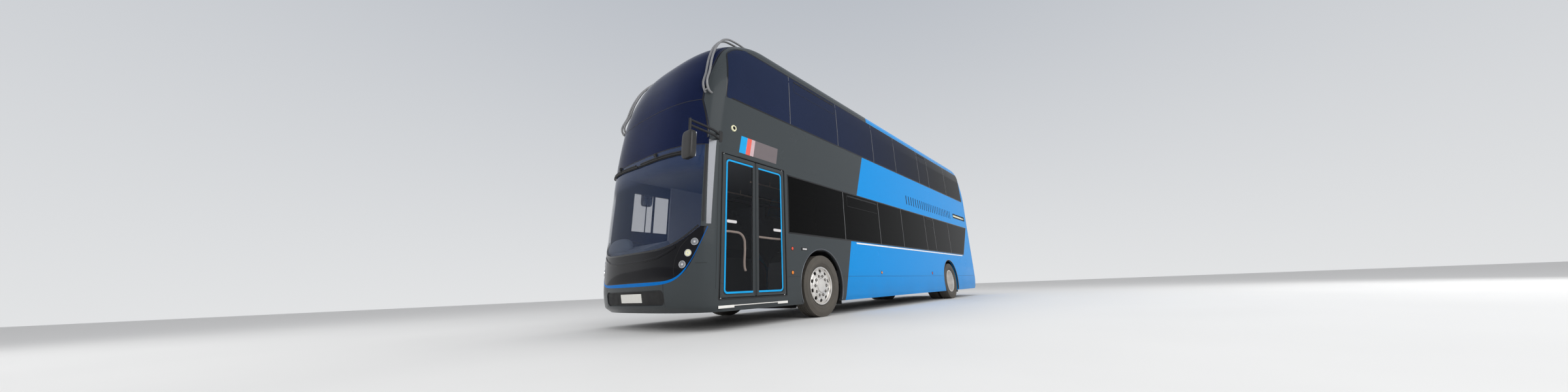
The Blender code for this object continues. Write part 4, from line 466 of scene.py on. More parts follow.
# The curved skin, shared by every panel
coach = {
    "halfWidth": 1.275, "height": 4.30, "frontAxle": -3.09, "rearAxle": 3.21,
    "frontOverhang": 2.64, "rearOverhang": 2.67, "wall": 0.055, "glass": 0.006, "screenGlass": 0.012,
    "deckSplit": 2.34, "roofSplit": 4.10, "frontSplit": -5.29, "tailSplit": 5.57,
    "ringsBetween": 5, "frontSteps": 26, "tailSteps": 9, "gap": 0.0003,
    # planes beyond the body, where cutters and raw blocks start and end
    "beside": 1.395, "ahead": -5.85, "behind": 6.0, "under": 0.10,
    "wheelRise": 0.48, "archRadius": 0.58,
    # height, nose, half width, corner power, corner depth, tail, tail corner, all as shares
    "stations": (
        (0.0512, 0.932, 0.988, 2.6, 0.361, 0.914, 0.196), (0.0698, 0.970, 0.998, 2.7, 0.392, 0.936, 0.196),
        (0.1395, 0.992, 1.000, 2.8, 0.439, 0.974, 0.196), (0.2326, 1.000, 1.000, 2.8, 0.471, 0.978, 0.196),
        (0.5349, 0.992, 1.000, 2.8, 0.471, 0.985, 0.196), (0.7209, 0.966, 1.000, 2.8, 0.486, 1.000, 0.196),
        (0.7907, 0.943, 1.000, 2.8, 0.502, 0.985, 0.196), (0.8605, 0.905, 0.998, 2.8, 0.518, 0.951, 0.220),
        (0.9070, 0.871, 0.995, 2.8, 0.518, 0.921, 0.220), (0.9419, 0.833, 0.987, 2.8, 0.533, 0.891, 0.235),
        (0.9651, 0.795, 0.971, 2.7, 0.549, 0.861, 0.275), (0.9814, 0.754, 0.941, 2.6, 0.565, 0.824, 0.314),
        (0.9930, 0.701, 0.878, 2.5, 0.588, 0.749, 0.392), (1.0000, 0.598, 0.706, 2.4, 0.588, 0.637, 0.392)),
}


def slopes(column):
    # gentle slopes at the stations that never overshoot
    heights = [station[0] for station in coach["stations"]]
    values = [station[column] for station in coach["stations"]]
    steps = [(b - a) / (d - c) for a, b, c, d in zip(values, values[1:], heights, heights[1:])]
    inner = [0 if a * b <= 0 else 2 * a * b / (a + b) for a, b in zip(steps, steps[1:])]
    return [steps[0]] + inner + [steps[-1]]


skinSlopes = {column: slopes(column) for column in range(1, 7)}


def skinAt(z):
    # the ring of the skin at a height, as lengths
    stations = coach["stations"]
    share = min(max(z / coach["height"], stations[0][0]), stations[-1][0])
    index = max(number for number, station in enumerate(stations[:-1]) if station[0] <= share)
    low, high = stations[index], stations[index + 1]
    span = high[0] - low[0]
    t = (share - low[0]) / span
    values = []
    for column in range(1, 7):
        a, b = skinSlopes[column][index] * span, skinSlopes[column][index + 1] * span
        values.append((2 * t ** 3 - 3 * t ** 2 + 1) * low[column] + (t ** 3 - 2 * t ** 2 + t) * a
                      + (3 * t ** 2 - 2 * t ** 3) * high[column] + (t ** 3 - t ** 2) * b)
    nose, width, power, depth, tail, corner = values
    half = coach["halfWidth"]
    return {"front": coach["frontAxle"] - nose * coach["frontOverhang"], "half": width * half, "power": power,
            "depth": depth * half, "rear": coach["rearAxle"] + tail * coach["rearOverhang"],
            "radius": corner * half}


def skinRing(z, inset):
    ring = skinAt(z)
    half, power = ring["half"] - inset, ring["power"]
    front, rear = ring["front"] + inset, ring["rear"] - inset
    depth, radius = ring["depth"] - inset, ring["radius"] - inset
    crown = min(1, max(0, (z / coach["height"] - 0.80) / 0.16))
    side = []
    for step in range(1, coach["frontSteps"] + 1):
        angle = math.pi / 2 * step / coach["frontSteps"]
        side.append((half * math.sin(angle) ** (2 / power),
                     front + depth * (1 - max(0, math.cos(angle)) ** (2 / power))))
    for step in range(coach["tailSteps"] + 1):
        angle = math.pi / 2 * step / coach["tailSteps"]
        side.append((half - radius + radius * math.cos(angle), rear - radius + radius * math.sin(angle)))
    ring = [(0, front)] + side + [(0, rear)] + [(-x, y) for x, y in reversed(side)]
    return [Vector((x, y, z - inset * crown)) for x, y in ring]


def skinSolid(name, inset):
    stations = coach["stations"]
    heights = []
    for low, high in zip(stations, stations[1:]):
        for step in range(coach["ringsBetween"]):
            heights.append((low[0] + (high[0] - low[0]) * step / coach["ringsBetween"]) * coach["height"])
    heights.append(coach["height"])
    rings = [skinRing(z, inset) for z in heights]
    if inset > 0:
        rings.insert(0, [spot - Vector((0, 0, 0.12)) for spot in rings[0]])
    bm = bmesh.new()
    made = [[bm.verts.new(spot) for spot in ring] for ring in rings]
    bridge(bm, made)
    bm.faces.new(reversed(made[0]))
    bm.faces.new(made[-1])
    bmesh.ops.recalc_face_normals(bm, faces=bm.faces)
    return fromBmesh(name, bm)


def panel(raw, back, finishSlot, node, cuts=(), keeps=(), body="bus_body"):
    # a raw shape cut down to the skin, as thick as the room that back leaves
    settle(carve(raw, [*keeps, outerSkin], [back, *cuts]), finishSlot, node, body=body)


def frontSpot(x, z, out=0.0):
    ring = skinAt(z)
    share = min(1, abs(x) / (ring["half"] + out))
    back = 1 - (1 - share ** ring["power"]) ** (1 / ring["power"])
    return Vector((x, ring["front"] - out + (ring["depth"] + out) * back, z))


def sideSpot(y, z, out=0.0, side=1):
    ring = skinAt(z)
    half, corner = ring["half"] + out, ring["rear"] - ring["radius"]
    x = half
    if y < ring["front"] + ring["depth"]:
        share = max(0, 1 - (y - ring["front"]) / ring["depth"])
        x = half * (1 - share ** ring["power"]) ** (1 / ring["power"])
    elif y > corner:
        x = half - ring["radius"] + math.sqrt(max(0, ring["radius"] ** 2 - (y - corner) ** 2))
    return Vector((side * x, y, z))


def rearSpot(x, z, out=0.0):
    ring = skinAt(z)
    inner = ring["half"] - ring["radius"]
    y = ring["rear"] + out
    if abs(x) > inner:
        y += math.sqrt(max(0, ring["radius"] ** 2 - (abs(x) - inner) ** 2)) - ring["radius"]
    return Vector((x, y, z))


def outwards(spotAt, u, z):
    e = 0.002
    normal = (spotAt(u + e, z) - spotAt(u - e, z)).cross(spotAt(u, z + e) - spotAt(u, z - e)).normalized()
    here = spotAt(u, z)
    return normal if normal.dot(Vector((here.x, here.y * 0.2, 0))) > 0 else -normal


def ribbon(name, spotAt, route, width, proud, finish, step=0.03, closed=False, sunk=0.002):
    # a flat strip that follows the skin along a route drawn in its own view
    fine = []
    legs = list(zip(route, route[1:] + route[:1])) if closed else list(zip(route, route[1:]))
    for (u1, z1), (u2, z2) in legs:
        count = max(1, int(math.hypot(u2 - u1, z2 - z1) / step))
        fine += [(u1 + (u2 - u1) * k / count, z1 + (z2 - z1) * k / count) for k in range(count)]
    if not closed:
        fine.append(route[-1])
    bm = bmesh.new()
    sections = []
    for index, (u, z) in enumerate(fine):
        before = fine[index - 1] if index or closed else fine[index]
        after = fine[(index + 1) % len(fine)] if closed or index + 1 < len(fine) else fine[index]
        along = (spotAt(*after) - spotAt(*before)).normalized()
        normal = outwards(spotAt, u, z)
        across = along.cross(normal).normalized() * (width(u, z) if callable(width) else width) / 2
        centre = spotAt(u, z)
        section = ((-1, -sunk), (-1, proud * 0.6), (-0.8, proud), (0.8, proud), (1, proud * 0.6), (1, -sunk))
        sections.append([bm.verts.new(centre + across * a + normal * b) for a, b in section])
    bridge(bm, sections, closed)
    if not closed:
        bm.faces.new(sections[0])
        bm.faces.new(sections[-1])
    bmesh.ops.recalc_face_normals(bm, faces=bm.faces)
    made = fromBmesh(name, bm, finish)
    softShade(made.data, 40)
    return made


def ribbons(spotAt, *rows):
    # strips on one skin, each with its name, route, width, height, finish and what else it is told
    return [ribbon(name, spotAt, route, width, proud, finish, *more)
            for name, route, width, proud, finish, *more in rows]


def arcPoints(centre, radius, start, end, count):
    return [(centre[0] + radius * math.cos(math.radians(start + (end - start) * step / count)),
             centre[1] + radius * math.sin(math.radians(start + (end - start) * step / count)))
            for step in range(count + 1)]


def roundedBox(left, right, low, high, radius, count=6):
    return (arcPoints((right - radius, high - radius), radius, 90, 0, count)
            + arcPoints((right - radius, low + radius), radius, 0, -90, count)
            + arcPoints((left + radius, low + radius), radius, -90, -180, count)
            + arcPoints((left + radius, high - radius), radius, 180, 90, count))


outerSkin = skinSolid("outerSkin", 0)
innerSkin = skinSolid("innerSkin", coach["wall"])
paneBack = skinSolid("paneBack", coach["glass"])
rebateBack = skinSolid("rebateBack", coach["glass"] + coach["gap"])
screenBack = skinSolid("screenBack", coach["screenGlass"])
print("skin drawn")


# Geometry Nodes for what repeats
def startTree(name, *sockets):
    # the tree, its maker, its inputs and its last node
    tree = bpy.data.node_groups.new(name, "GeometryNodeTree")
    tree.interface.new_socket("Geometry", in_out="INPUT", socket_type="NodeSocketGeometry")
    for label, kind, value in sockets:
        socket = tree.interface.new_socket(label, in_out="INPUT", socket_type="NodeSocket" + kind)
        if value is not None:
            socket.default_value = value
    tree.interface.new_socket("Geometry", in_out="OUTPUT", socket_type="NodeSocketGeometry")
    add = nodeMaker(tree)
    return tree, add, add("NodeGroupInput").outputs, add("NodeGroupOutput")


def endTree(tree, add, source, sink, copies):
    last = add("GeometryNodeRealizeInstances", {0: copies})
    if "Finish" in source:
        last = add("GeometryNodeSetMaterial", {"Geometry": last, "Material": source["Finish"]})
    tree.links.new(last.outputs[0], sink.inputs[0])
    return tree


def ringTree(name, corners):
    # copies on a circle round the X axis, of a block or of a stub with so many corners
    tree, add, source, sink = startTree(
        name, ("Count", "Int", 10), ("Radius", "Float", 0.1), ("Phase", "Float", 0.0),
        ("Size", "Vector", (0.02, 0.02, 0.02)), ("Centre", "Vector", (0, 0, 0)), ("Finish", "Material", None))
    points = add("GeometryNodePoints", {0: source["Count"]})
    share = add("Math", {0: add("GeometryNodeInputIndex"), 1: source["Count"]}, operation="DIVIDE")
    turned = add("Math", {0: share, 1: 2 * math.pi, 2: source["Phase"]}, operation="MULTIPLY_ADD")
    parts = [add("Math", {0: turned}, operation=kind) for kind in ("COSINE", "SINE")]
    scaled = [add("Math", {0: part, 1: source["Radius"]}, operation="MULTIPLY") for part in parts]
    offset = add("CombineXYZ", {1: scaled[0], 2: scaled[1]})
    spot = add("VectorMath", {0: offset, 1: source["Centre"]}, operation="ADD")
    placed = add("GeometryNodeSetPosition", {"Geometry": points, "Position": spot})
    if corners:
        size = add("SeparateXYZ", {0: source["Size"]})
        stub = add("GeometryNodeMeshCylinder", {"Vertices": corners, "Side Segments": 1, "Radius": size.outputs[1],
                                                "Depth": size.outputs[0]})
        copy = add("GeometryNodeTransform", {"Geometry": stub, "Rotation": (0, math.pi / 2, 0)})
    else:
        copy = add("GeometryNodeMeshCube", {"Size": source["Size"]})
    lean = add("CombineXYZ", {0: turned})
    copies = add("GeometryNodeInstanceOnPoints", {"Points": placed, "Instance": copy, "Rotation": lean})
    return endTree(tree, add, source, sink, copies)


def rowTree(name, ofShape):
    # copies one step apart, of a block or of a given object that keeps its own finishes
    given = [("Shape", "Object", None)] if ofShape else [("Size", "Vector", (0.02, 0.02, 0.02)),
                                                         ("Finish", "Material", None)]
    tree, add, source, sink = startTree(
        name, ("Count", "Int", 10), ("Start", "Vector", (0, 0, 0)), ("Step", "Vector", (0, 0.1, 0)), *given)
    line = add("GeometryNodeMeshLine", {"Count": source["Count"], "Start Location": source["Start"],
                                        "Offset": source["Step"]})
    if ofShape:
        copy = add("GeometryNodeObjectInfo", {0: source["Shape"]}).outputs["Geometry"]
    else:
        copy = add("GeometryNodeMeshCube", {"Size": source["Size"]})
    copies = add("GeometryNodeInstanceOnPoints", {"Points": line, "Instance": copy})
    return endTree(tree, add, source, sink, copies)


trees = {"blocksRound": ringTree("blocksRound", 0), "nutsRound": ringTree("nutsRound", 6),
         "discsRound": ringTree("discsRound", 20), "barsInRow": rowTree("barsInRow", False),
         "copiesInRow": rowTree("copiesInRow", True)}


def runTree(name, kind, finish=None, angle=32, **values):
    made = putInScene(name, bpy.data.meshes.new(name), finish)
    step = made.modifiers.new(kind, "NODES")
    step.node_group = trees[kind]
    if finish:
        values["Finish"] = finish
    for item in step.node_group.interface.items_tree:
        if item.item_type == "SOCKET" and item.in_out == "INPUT" and item.name in values:
            step[item.identifier] = values[item.name]
    return bakeShape(made, angle)


# Side panels, glass and their fittings
band = {
    "upper": {"front": -5.20, "tail": 5.48, "low": 3.10, "high": 4.06, "corner": 0.26, "rake": 0.06,
              "dividers": (0.131, 0.268, 0.405, 0.513, 0.652, 0.719, 0.855)},
    "lower": {"front": -3.93, "tail": 5.45, "low": 1.26, "high": 2.20, "taper": 0.70,
              "dividers": (0.173, 0.322, 0.446, 0.601, 0.671, 0.800)},
    "lap": 0.045, "pillar": 0.09, "cab": (-5.17, -4.37, 1.12, 2.20, 0.06),
}


def bandOutline(deck, grow):
    own = band[deck]
    low, high, front, tail = own["low"] - grow, own["high"] + grow, own["front"] - grow, own["tail"] + grow
    if deck == "lower":
        return [(front, low), (front, high), (tail, high), (tail - own["taper"], low)]
    corner, rake = own["corner"], own["rake"]
    return ([(front, low)] + arcPoints((front + rake + corner, high - corner), corner, 175, 90, 12)
            + arcPoints((tail - rake - corner / 2, high - corner / 2), corner / 2, 90, 5, 8) + [(tail, low)])


def reach(side, near=1.035, far=coach["beside"]):
    return (near, far) if side > 0 else (-far, -near)


def sideCutter(name, outline, side, finish=None):
    return prism(name, outline, "X", *reach(side), finish)


def rebateCutter(name, outline, side):
    # takes out the room that a pane fills
    return carve(sideCutter(name, outline, side), cuts=[rebateBack])


def dividerPlaces(deck):
    own = band[deck]
    return [own["front"] + share * (own["tail"] - own["front"]) for share in own["dividers"]]


def bayCutter(name, deck, side):
    own, lap, (near, far) = band[deck], band["lap"], reach(side)
    ends = (own["corner"], own["corner"]) if deck == "upper" else (band["pillar"], own["taper"])
    starts = [own["front"] + ends[0] - lap] + dividerPlaces(deck)
    stops = dividerPlaces(deck) + [own["tail"] - ends[1] + lap]
    return blocks(name, [((near, start + lap, own["low"] + lap), (far, stop - lap, own["high"] - lap))
                         for start, stop in zip(starts, stops)])


def cabOutline(grow):
    front, rear, low, high, radius = band["cab"]
    return roundedBox(front - grow, rear + grow, low - grow, high + grow, radius + grow)


def wheelCutter(name, y, side):
    near, far = reach(side)
    bm = bmesh.new()
    turn = Matrix.Translation(((near + far) / 2, y, coach["wheelRise"])) @ sideways
    radius = coach["archRadius"]
    bmesh.ops.create_cone(bm, cap_ends=True, segments=96, radius1=radius, radius2=radius, depth=far - near,
                          matrix=turn)
    return fromBmesh(name, bm)


louvre = {"count": 23, "start": 0.66, "pitch": 0.148, "width": 0.045, "low": 2.36, "height": 0.23, "depth": 0.018}
lampBox = {"start": 4.25, "length": 1.18, "low": 2.42, "height": 0.14, "depth": 0.010}


def louvrePockets():
    face, low = coach["halfWidth"] - louvre["depth"], louvre["low"]
    pockets = []
    for number in range(louvre["count"]):
        y = louvre["start"] + louvre["pitch"] * number
        pockets.append(((face, y, low), (coach["beside"], y + louvre["width"], low + louvre["height"])))
    y, low, face = lampBox["start"], lampBox["low"], coach["halfWidth"] - lampBox["depth"]
    pockets.append(((face, y, low), (coach["beside"], y + lampBox["length"], low + lampBox["height"])))
    return blocks("louvrePockets", pockets)


def sidePanels(name, side):
    near, far = reach(side)
    gap = coach["gap"]
    lower = blocks(name + "LowerSide", [((near, coach["frontSplit"] + gap / 2, coach["under"]),
                                         (far, coach["tailSplit"] - gap / 2, coach["deckSplit"] - gap / 2))], paint)
    cuts = [rebateCutter(name + "LowerRebate", bandOutline("lower", gap), side),
            bayCutter(name + "LowerBays", "lower", side), wheelCutter(name + "FrontArch", coach["frontAxle"], side),
            wheelCutter(name + "RearArch", coach["rearAxle"], side)]
    if side > 0:
        cuts.append(blocks("doorway", [((near, -5.241, 0.37), (far, -3.999, 2.245))]))
    else:
        cuts.append(rebateCutter("cabRebate", cabOutline(gap), side))
        cuts.append(sideCutter("cabOpening", cabOutline(-band["lap"]), side))
        panel(sideCutter("cabWindow", cabOutline(0), side, cabGlass), paneBack, "screen_glass", "cab_window")
    panel(lower, innerSkin, "body_grey", name + "_lower_side", cuts)
    upper = blocks(name + "UpperSide", [((0.0002, -5.9, coach["deckSplit"] + gap / 2),
                                         (coach["beside"], coach["tailSplit"] - gap / 2,
                                          coach["roofSplit"] - gap / 2))], paint)
    if side < 0:
        upper.data.transform(Matrix.Diagonal((-1, 1, 1, 1)))
        upper.data.flip_normals()
    cuts = [rebateCutter(name + "UpperRebate", bandOutline("upper", gap), side),
            bayCutter(name + "UpperBays", "upper", side), screenOpening]
    if side > 0:
        cuts.append(louvrePockets())
    panel(upper, innerSkin, "body_grey", name + "_upper_side", cuts)
    for deck, glass in (("lower", sideGlass), ("upper", upperGlass)):
        pane = sideCutter(f"{name}{deck.title()}Glass", bandOutline(deck, 0), side, glass)
        panel(pane, paneBack, "tinted_glass", f"{name}_{deck}_glass")


def screenOutline(grow):
    # the destination glass and the upper screen together, in the front view
    half, wide = 1.10 + grow, 1.20 + grow
    right = [(half, 4.22), (half, 3.02 + grow)]
    for step in range(1, 11):
        share = step / 10
        right.append((half + (wide - half) * math.sin(math.pi / 2 * share), 3.02 + (2.43 - 3.02) * share))
    right.append((wide, 2.22))
    return right + [(-x, z) for x, z in reversed(right)]


def frontPrism(name, outline, finish=None, back=coach["frontSplit"]):
    return prism(name, outline, "Y", coach["ahead"], back, finish)


screenOpening = frontPrism("screenOpening", screenOutline(coach["gap"]), None, -4.96)
sidePanels("nearside", 1)
sidePanels("offside", -1)
print("sides carved")


def loopOf(outline, inset):
    # an outline drawn in by a distance, towards its middle
    middle = (sum(p[0] for p in outline) / len(outline), sum(p[1] for p in outline) / len(outline))
    made = []
    for u, z in outline:
        away = Vector((u - middle[0], z - middle[1]))
        made.append((u - inset * (1 if away.x > 0 else -1), z - inset * (1 if away.y > 0 else -1)))
    return made


sideTrim = {"edgeWidth": 0.022, "divider": 0.007, "hopperDrop": 0.22, "seam": 0.004}


def sideFittings(name, side):
    def onSide(y, z, out=0.0):
        return sideSpot(y, z, out, side)
    rim = sideTrim["edgeWidth"]
    seals, lines = [], []
    if side < 0:
        seals += ribbons(onSide, ("cabWindowSeal", cabOutline(-0.012), 0.024, 0.0015, frit, 0.03, True))
        for y, width in ((-4.86, 0.018), (-4.72, 0.045), (-4.42, 0.02)):
            seals += ribbons(onSide, (f"cabWindowBar{y}", [(y, 1.14), (y, 2.18)], width, 0.002, frit, 0.2))
        seals += ribbons(onSide, ("cabWindowFoot", [(-5.15, 1.33), (-4.39, 1.33)], 0.34, 0.001, frit))
    for deck, hoppers in (("lower", (0, 3)), ("upper", (0, 4))):
        own, places = band[deck], dividerPlaces(deck)
        seals += ribbons(onSide, (name + deck + "Seal", loopOf(bandOutline(deck, 0), rim / 2), rim, 0.0015, frit,
                                  0.12, True))
        for number, y in enumerate(places):
            route = [(y, own["low"] + 0.02), (y, own["high"] - 0.02)]
            seals += ribbons(onSide, (f"{name}{deck}Joint{number}", route, 0.016, 0.0012, frit, 0.2))
            lines += ribbons(onSide, (f"{name}{deck}Line{number}", route, sideTrim["divider"], 0.0025, railGrey,
                                      0.2))
        for first in hoppers:
            left, right, top = places[first] + 0.13, places[first + 1] - 0.06, own["high"] - 0.055
            hopper = roundedBox(left, right, top - sideTrim["hopperDrop"], top, 0.03)
            catch = [(left + 0.02, top - 0.02), (right - 0.02, top - 0.02)]
            lines += ribbons(onSide, (f"{name}{deck}Hopper{first}", hopper, 0.006, 0.002, seal, 0.2, True))
            seals += ribbons(onSide, (f"{name}{deck}HopperTop{first}", catch, 0.022, 0.006, seal, 0.3))
    # seams between the panels, and one along the skirt
    seams = [[(-5.29, 0.23), (-5.29, 2.34)], [(-2.50, 0.62), (2.62, 0.62)], [(3.80, 0.62), (5.55, 0.62)],
             [(5.57, 0.24), (5.57, 4.08)], [(-3.99 if side > 0 else -5.25, 0.62), (-3.68, 0.62)]]
    if side < 0:
        seams.append([(-4.24, 0.24), (-4.24, 2.33)])
    for number, route in enumerate(seams):
        lines += ribbons(onSide, (f"{name}Seam{number}", route, sideTrim["seam"], 0.0004, recess, 0.25))
    lines += ribbons(onSide, (name + "RoofSeam", [(-5.05, 4.10), (5.40, 4.10)], 0.005, 0.0006, recess, 0.2))
    settle(merge(name + "WindowSeals", seals), "rubber")
    settle(merge(name + "SideLines", lines), "rubber")
    route = [(-1.93, 1.232), (4.60, 1.232)]
    settle(ribbon(name + "WhiteStripe", onSide, route, 0.026, 0.0008, whiteTape, 0.4), "body_grey")
    lips = []
    for number, y in enumerate((coach["frontAxle"], coach["rearAxle"])):
        for kind, x, radius, tube, finish in (("Lip", 1.2735, 0.583, 0.0075, pillarGrey),
                                              ("LipSeal", 1.262, 0.574, 0.011, seal)):
            edge = [Vector((side * x, y + radius * math.cos(a), coach["wheelRise"] + radius * math.sin(a)))
                    for a in (math.radians(t) for t in range(-24, 205, 6))]
            lips.append(pipe(f"{name}{kind}{number}", edge, tube, finish, False))
        low, high = sorted((side * 0.98, side * 1.213))
        lips += softRows((f"{name}Flap{number}", (low, y + 0.592, 0.16), (high, y + 0.600, 0.50), seal, 0.003))
    settle(merge(name + "ArchLips", lips), "rubber")


def dome(name, centre, normal, radius, height, finish, rim=None):
    # a low round lens or button on a flat rim
    profile = [(0, height)] + [(radius * math.sin(a), height * math.cos(a))
                               for a in (math.radians(t) for t in range(15, 91, 15))] + [(radius, -0.004),
                                                                                         (0, -0.004)]
    made = lathe(name, profile, finish, 32)
    parts = [made]
    if rim:
        ringProfile = [(radius, 0.001), (radius * 1.05, 0.004), (radius * 1.2, 0.004), (radius * 1.26, 0.0),
                       (radius * 1.26, -0.004), (radius, -0.004)]
        parts.append(lathe(name + "Rim", ringProfile, rim, 32))
    for part in parts:
        part.data.transform(facing(centre, normal))
    return parts


fittings = {
    "face": 1.2755, "ambers": ((-3.86, 0.68), (-1.02, 0.69)), "reflector": (1.79, 0.687), "button": (-3.85, 1.035),
    "handle": (-3.56, 1.04), "camera": (-5.055, 2.65), "sticker": (-4.95, -4.18, 2.318, 2.580),
    "stickerEdges": (0, 0.16, 0.27, 0.36, 1), "stickerLean": 0.045,
}


def sideDetails():
    face = fittings["face"]
    parts = []
    for side in (1, -1):
        for y, z in fittings["ambers"]:
            parts += dome(f"amber{side}{y}", (side * face, y, z), (side, 0, 0), 0.026, 0.014, amberLens, seal)
        y, z = fittings["reflector"]
        parts += dome(f"reflector{side}", (side * face, y, z), (side, 0, 0), 0.030, 0.006, redLens, seal)
    parts += dome("doorButton", (face, *fittings["button"]), (1, 0, 0), 0.024, 0.010, buttonRed, seal)
    y, z = fittings["handle"]
    parts += softRows(("flapHandle", (1.268, y - 0.075, z - 0.022), (1.2815, y + 0.075, z + 0.022), seal, 0.006),
                      ("flapLabel", (1.279, y - 0.045, z - 0.012), (1.2826, y + 0.060, z + 0.012), paleLabel,
                       0.002))
    spot = (face, *fittings["camera"])
    parts += dome("cameraDome", spot, (1, 0, 0), 0.026, 0.020, blackGloss)
    ringProfile = [(0.027, 0.016), (0.040, 0.016), (0.047, 0.008), (0.048, -0.003), (0.026, -0.003)]
    ring = lathe("cameraRing", ringProfile, creamLens, 40)
    ring.data.transform(Matrix.Translation(spot) @ sideways)
    parts.append(ring)
    left, right, low, high = fittings["sticker"]
    edges, lean = fittings["stickerEdges"], fittings["stickerLean"]
    for number, finish in enumerate((cyanTape, coralTape, pinkTape, plateGrey)):
        a, b = (left + (right - left) * edge for edge in edges[number:number + 2])
        outline = [(a + lean, high), (b + lean, high), (b, low), (a, low)]
        parts.append(prism(f"sticker{number}", outline, "X", 1.2735, 1.2757, finish))
    settle(merge("sideSmallParts", parts), "rubber")
    # near-black backs in the louvre pockets, painted shade for the depth behind the vents, with slats in each
    middle = louvre["start"] + louvre["width"] / 2
    shared = {"Count": louvre["count"], "Step": (0, louvre["pitch"], 0)}
    slats = [runTree("louvreBacks", "barsInRow", recess,
                     Start=(1.2645, middle, louvre["low"] + louvre["height"] / 2),
                     Size=(0.014, louvre["width"] - 0.0008, louvre["height"] - 0.0008), **shared)]
    for number in range(5):
        slats.append(runTree(f"louvreSlats{number}", "barsInRow", seal, Size=(0.005, louvre["width"] - 0.002,
                                                                              0.006),
                             Start=(1.2712, middle, louvre["low"] + 0.023 + number * 0.046), **shared))
    settle(merge("louvreInsides", slats), "rubber")
    y, z, length, height = (lampBox[key] for key in ("start", "low", "length", "height"))
    route = roundedBox(y + 0.004, y + length - 0.004, z + 0.004, z + height - 0.004, 0.012)
    settle(merge("lampBoxParts", [
        blocks("lampBoxBack", [((1.2645, y + 0.001, z + 0.001), (1.268, y + length - 0.001, z + height - 0.001))],
               seal),
        ribbon("lampBoxFrame", sideSpot, route, 0.014, 0.002, seal, 0.1, True, 0.009),
        softBlocks("lampBoxStrip", [((1.267, y + 0.05, z + 0.045),
                                     (1.2735, y + length - 0.05, z + height - 0.045))],
                   creamLens, 0.003)]), "rubber")


sideFittings("nearside", 1)
sideFittings("offside", -1)
sideDetails()
print("sides dressed")


# Front end
front = {"screenHalf": 1.17, "screenLow": 0.965, "corner": 1.24, "screenPower": 5, "maskHalf": 1.215,
         "maskLow": 0.60,
         "maskPower": 11, "steps": 40, "signTop": 3.02}


def frontCurve(half, low, power):
    made = []
    for step in range(-front["steps"], front["steps"] + 1):
        share = math.sin(math.pi / 2 * step / front["steps"])
        made.append((half * share, low + (front["corner"] - low) * abs(share) ** power))
    return made


def frontPanels():
    gap, split, beside, ahead = (coach[key] for key in ("gap", "deckSplit", "beside", "ahead"))
    corner, axle = front["corner"], coach["frontAxle"]
    maskLine = frontCurve(front["maskHalf"], front["maskLow"], front["maskPower"])
    screenLine = frontCurve(front["screenHalf"], front["screenLow"], front["screenPower"])
    edge = front["screenHalf"] + gap
    above = maskLine + [(edge, corner), (edge, 2.46), (-edge, 2.46), (-edge, corner)]
    bumper = blocks("frontBumper", [((-beside, ahead, coach["under"]),
                                     (beside, coach["frontSplit"] - gap / 2, split - gap / 2))], paint)
    plateRecess = frontPrism("plateRecess", roundedBox(-0.72, 0.72, 0.315, 0.50, 0.07), None, axle)
    carve(plateRecess, cuts=[skinSolid("recessBack", 0.016)])
    panel(bumper, innerSkin, "body_grey", "front_bumper",
          [frontPrism("bumperOpening", above, None, axle), plateRecess])
    outline = [(x, z + gap) for x, z in maskLine[1:-1]] + [(x, z - gap) for x, z in reversed(screenLine)]
    panel(frontPrism("frontMask", outline, blackGloss), innerSkin, "black_gloss", "front_mask")
    outline = screenLine + [(front["screenHalf"], split - gap / 2), (-front["screenHalf"], split - gap / 2)]
    panel(frontPrism("lowerWindscreen", outline, screenGlass), screenBack, "screen_glass", "lower_windscreen")
    for name, node, low, high, slotName in (
            ("destinationGlass", "destination_glass", split, front["signTop"], "black_gloss"),
            ("upperWindscreen", "upper_windscreen", front["signTop"], coach["roofSplit"], "screen_glass")):
        pane = frontPrism(name, screenOutline(0), upperScreen, -4.96)
        level = blocks(name + "Level", [((-beside, ahead, low + gap / 2), (beside, axle, high - gap / 2))])
        panel(pane, screenBack, slotName, node, keeps=[level])
    roof = blocks("roofPanel", [((-beside, ahead, coach["roofSplit"] + gap / 2), (beside, coach["behind"], 4.42))],
                  paint)
    panel(roof, innerSkin, "body_grey", "roof")


frontPanels()
print("front carved")

lampRows = {"front": ((1.125, 1.05), (1.0625, 0.9175), (1.0, 0.785)), "frontRadius": 0.044,
            "rear": ((1.099, 0.96), (1.099, 0.80), (1.099, 0.64)), "rearRadius": 0.060}


def lampUnit(name, spotAt, x, z, r, glow, bowl):
    # bezel, domed lens and bright core, square to the skin where they sit
    inner, rim = r * 0.86, r * 1.02
    bezel = [(inner, 0.005), (r * 0.90, 0.0078), (r * 0.98, 0.0078), (rim, 0.005), (rim, -0.006), (inner, -0.006)]
    lens = [(0, 0.0072)] + [(inner * math.sin(math.radians(t)), 0.0072 * math.cos(math.radians(t)))
                            for t in range(15, 90, 15)] + [(inner, -0.004), (0, -0.004)]
    core = [(0, 0.0076), (r * 0.26, 0.0076), (r * 0.30, 0.0060), (r * 0.30, 0.0), (0, 0.0)]
    parts = [lathe(name + "Bezel", bezel, bowl, 40), lathe(name + "Lens", lens, glow, 40),
             lathe(name + "Core", core, chrome, 24)]
    for part in parts:
        part.data.transform(facing(spotAt(x, z), outwards(spotAt, x, z)))
    return parts


def behindSkin(depth):
    def spotAt(x, z, out=0.0):
        return frontSpot(x, z, out - depth)
    return spotAt


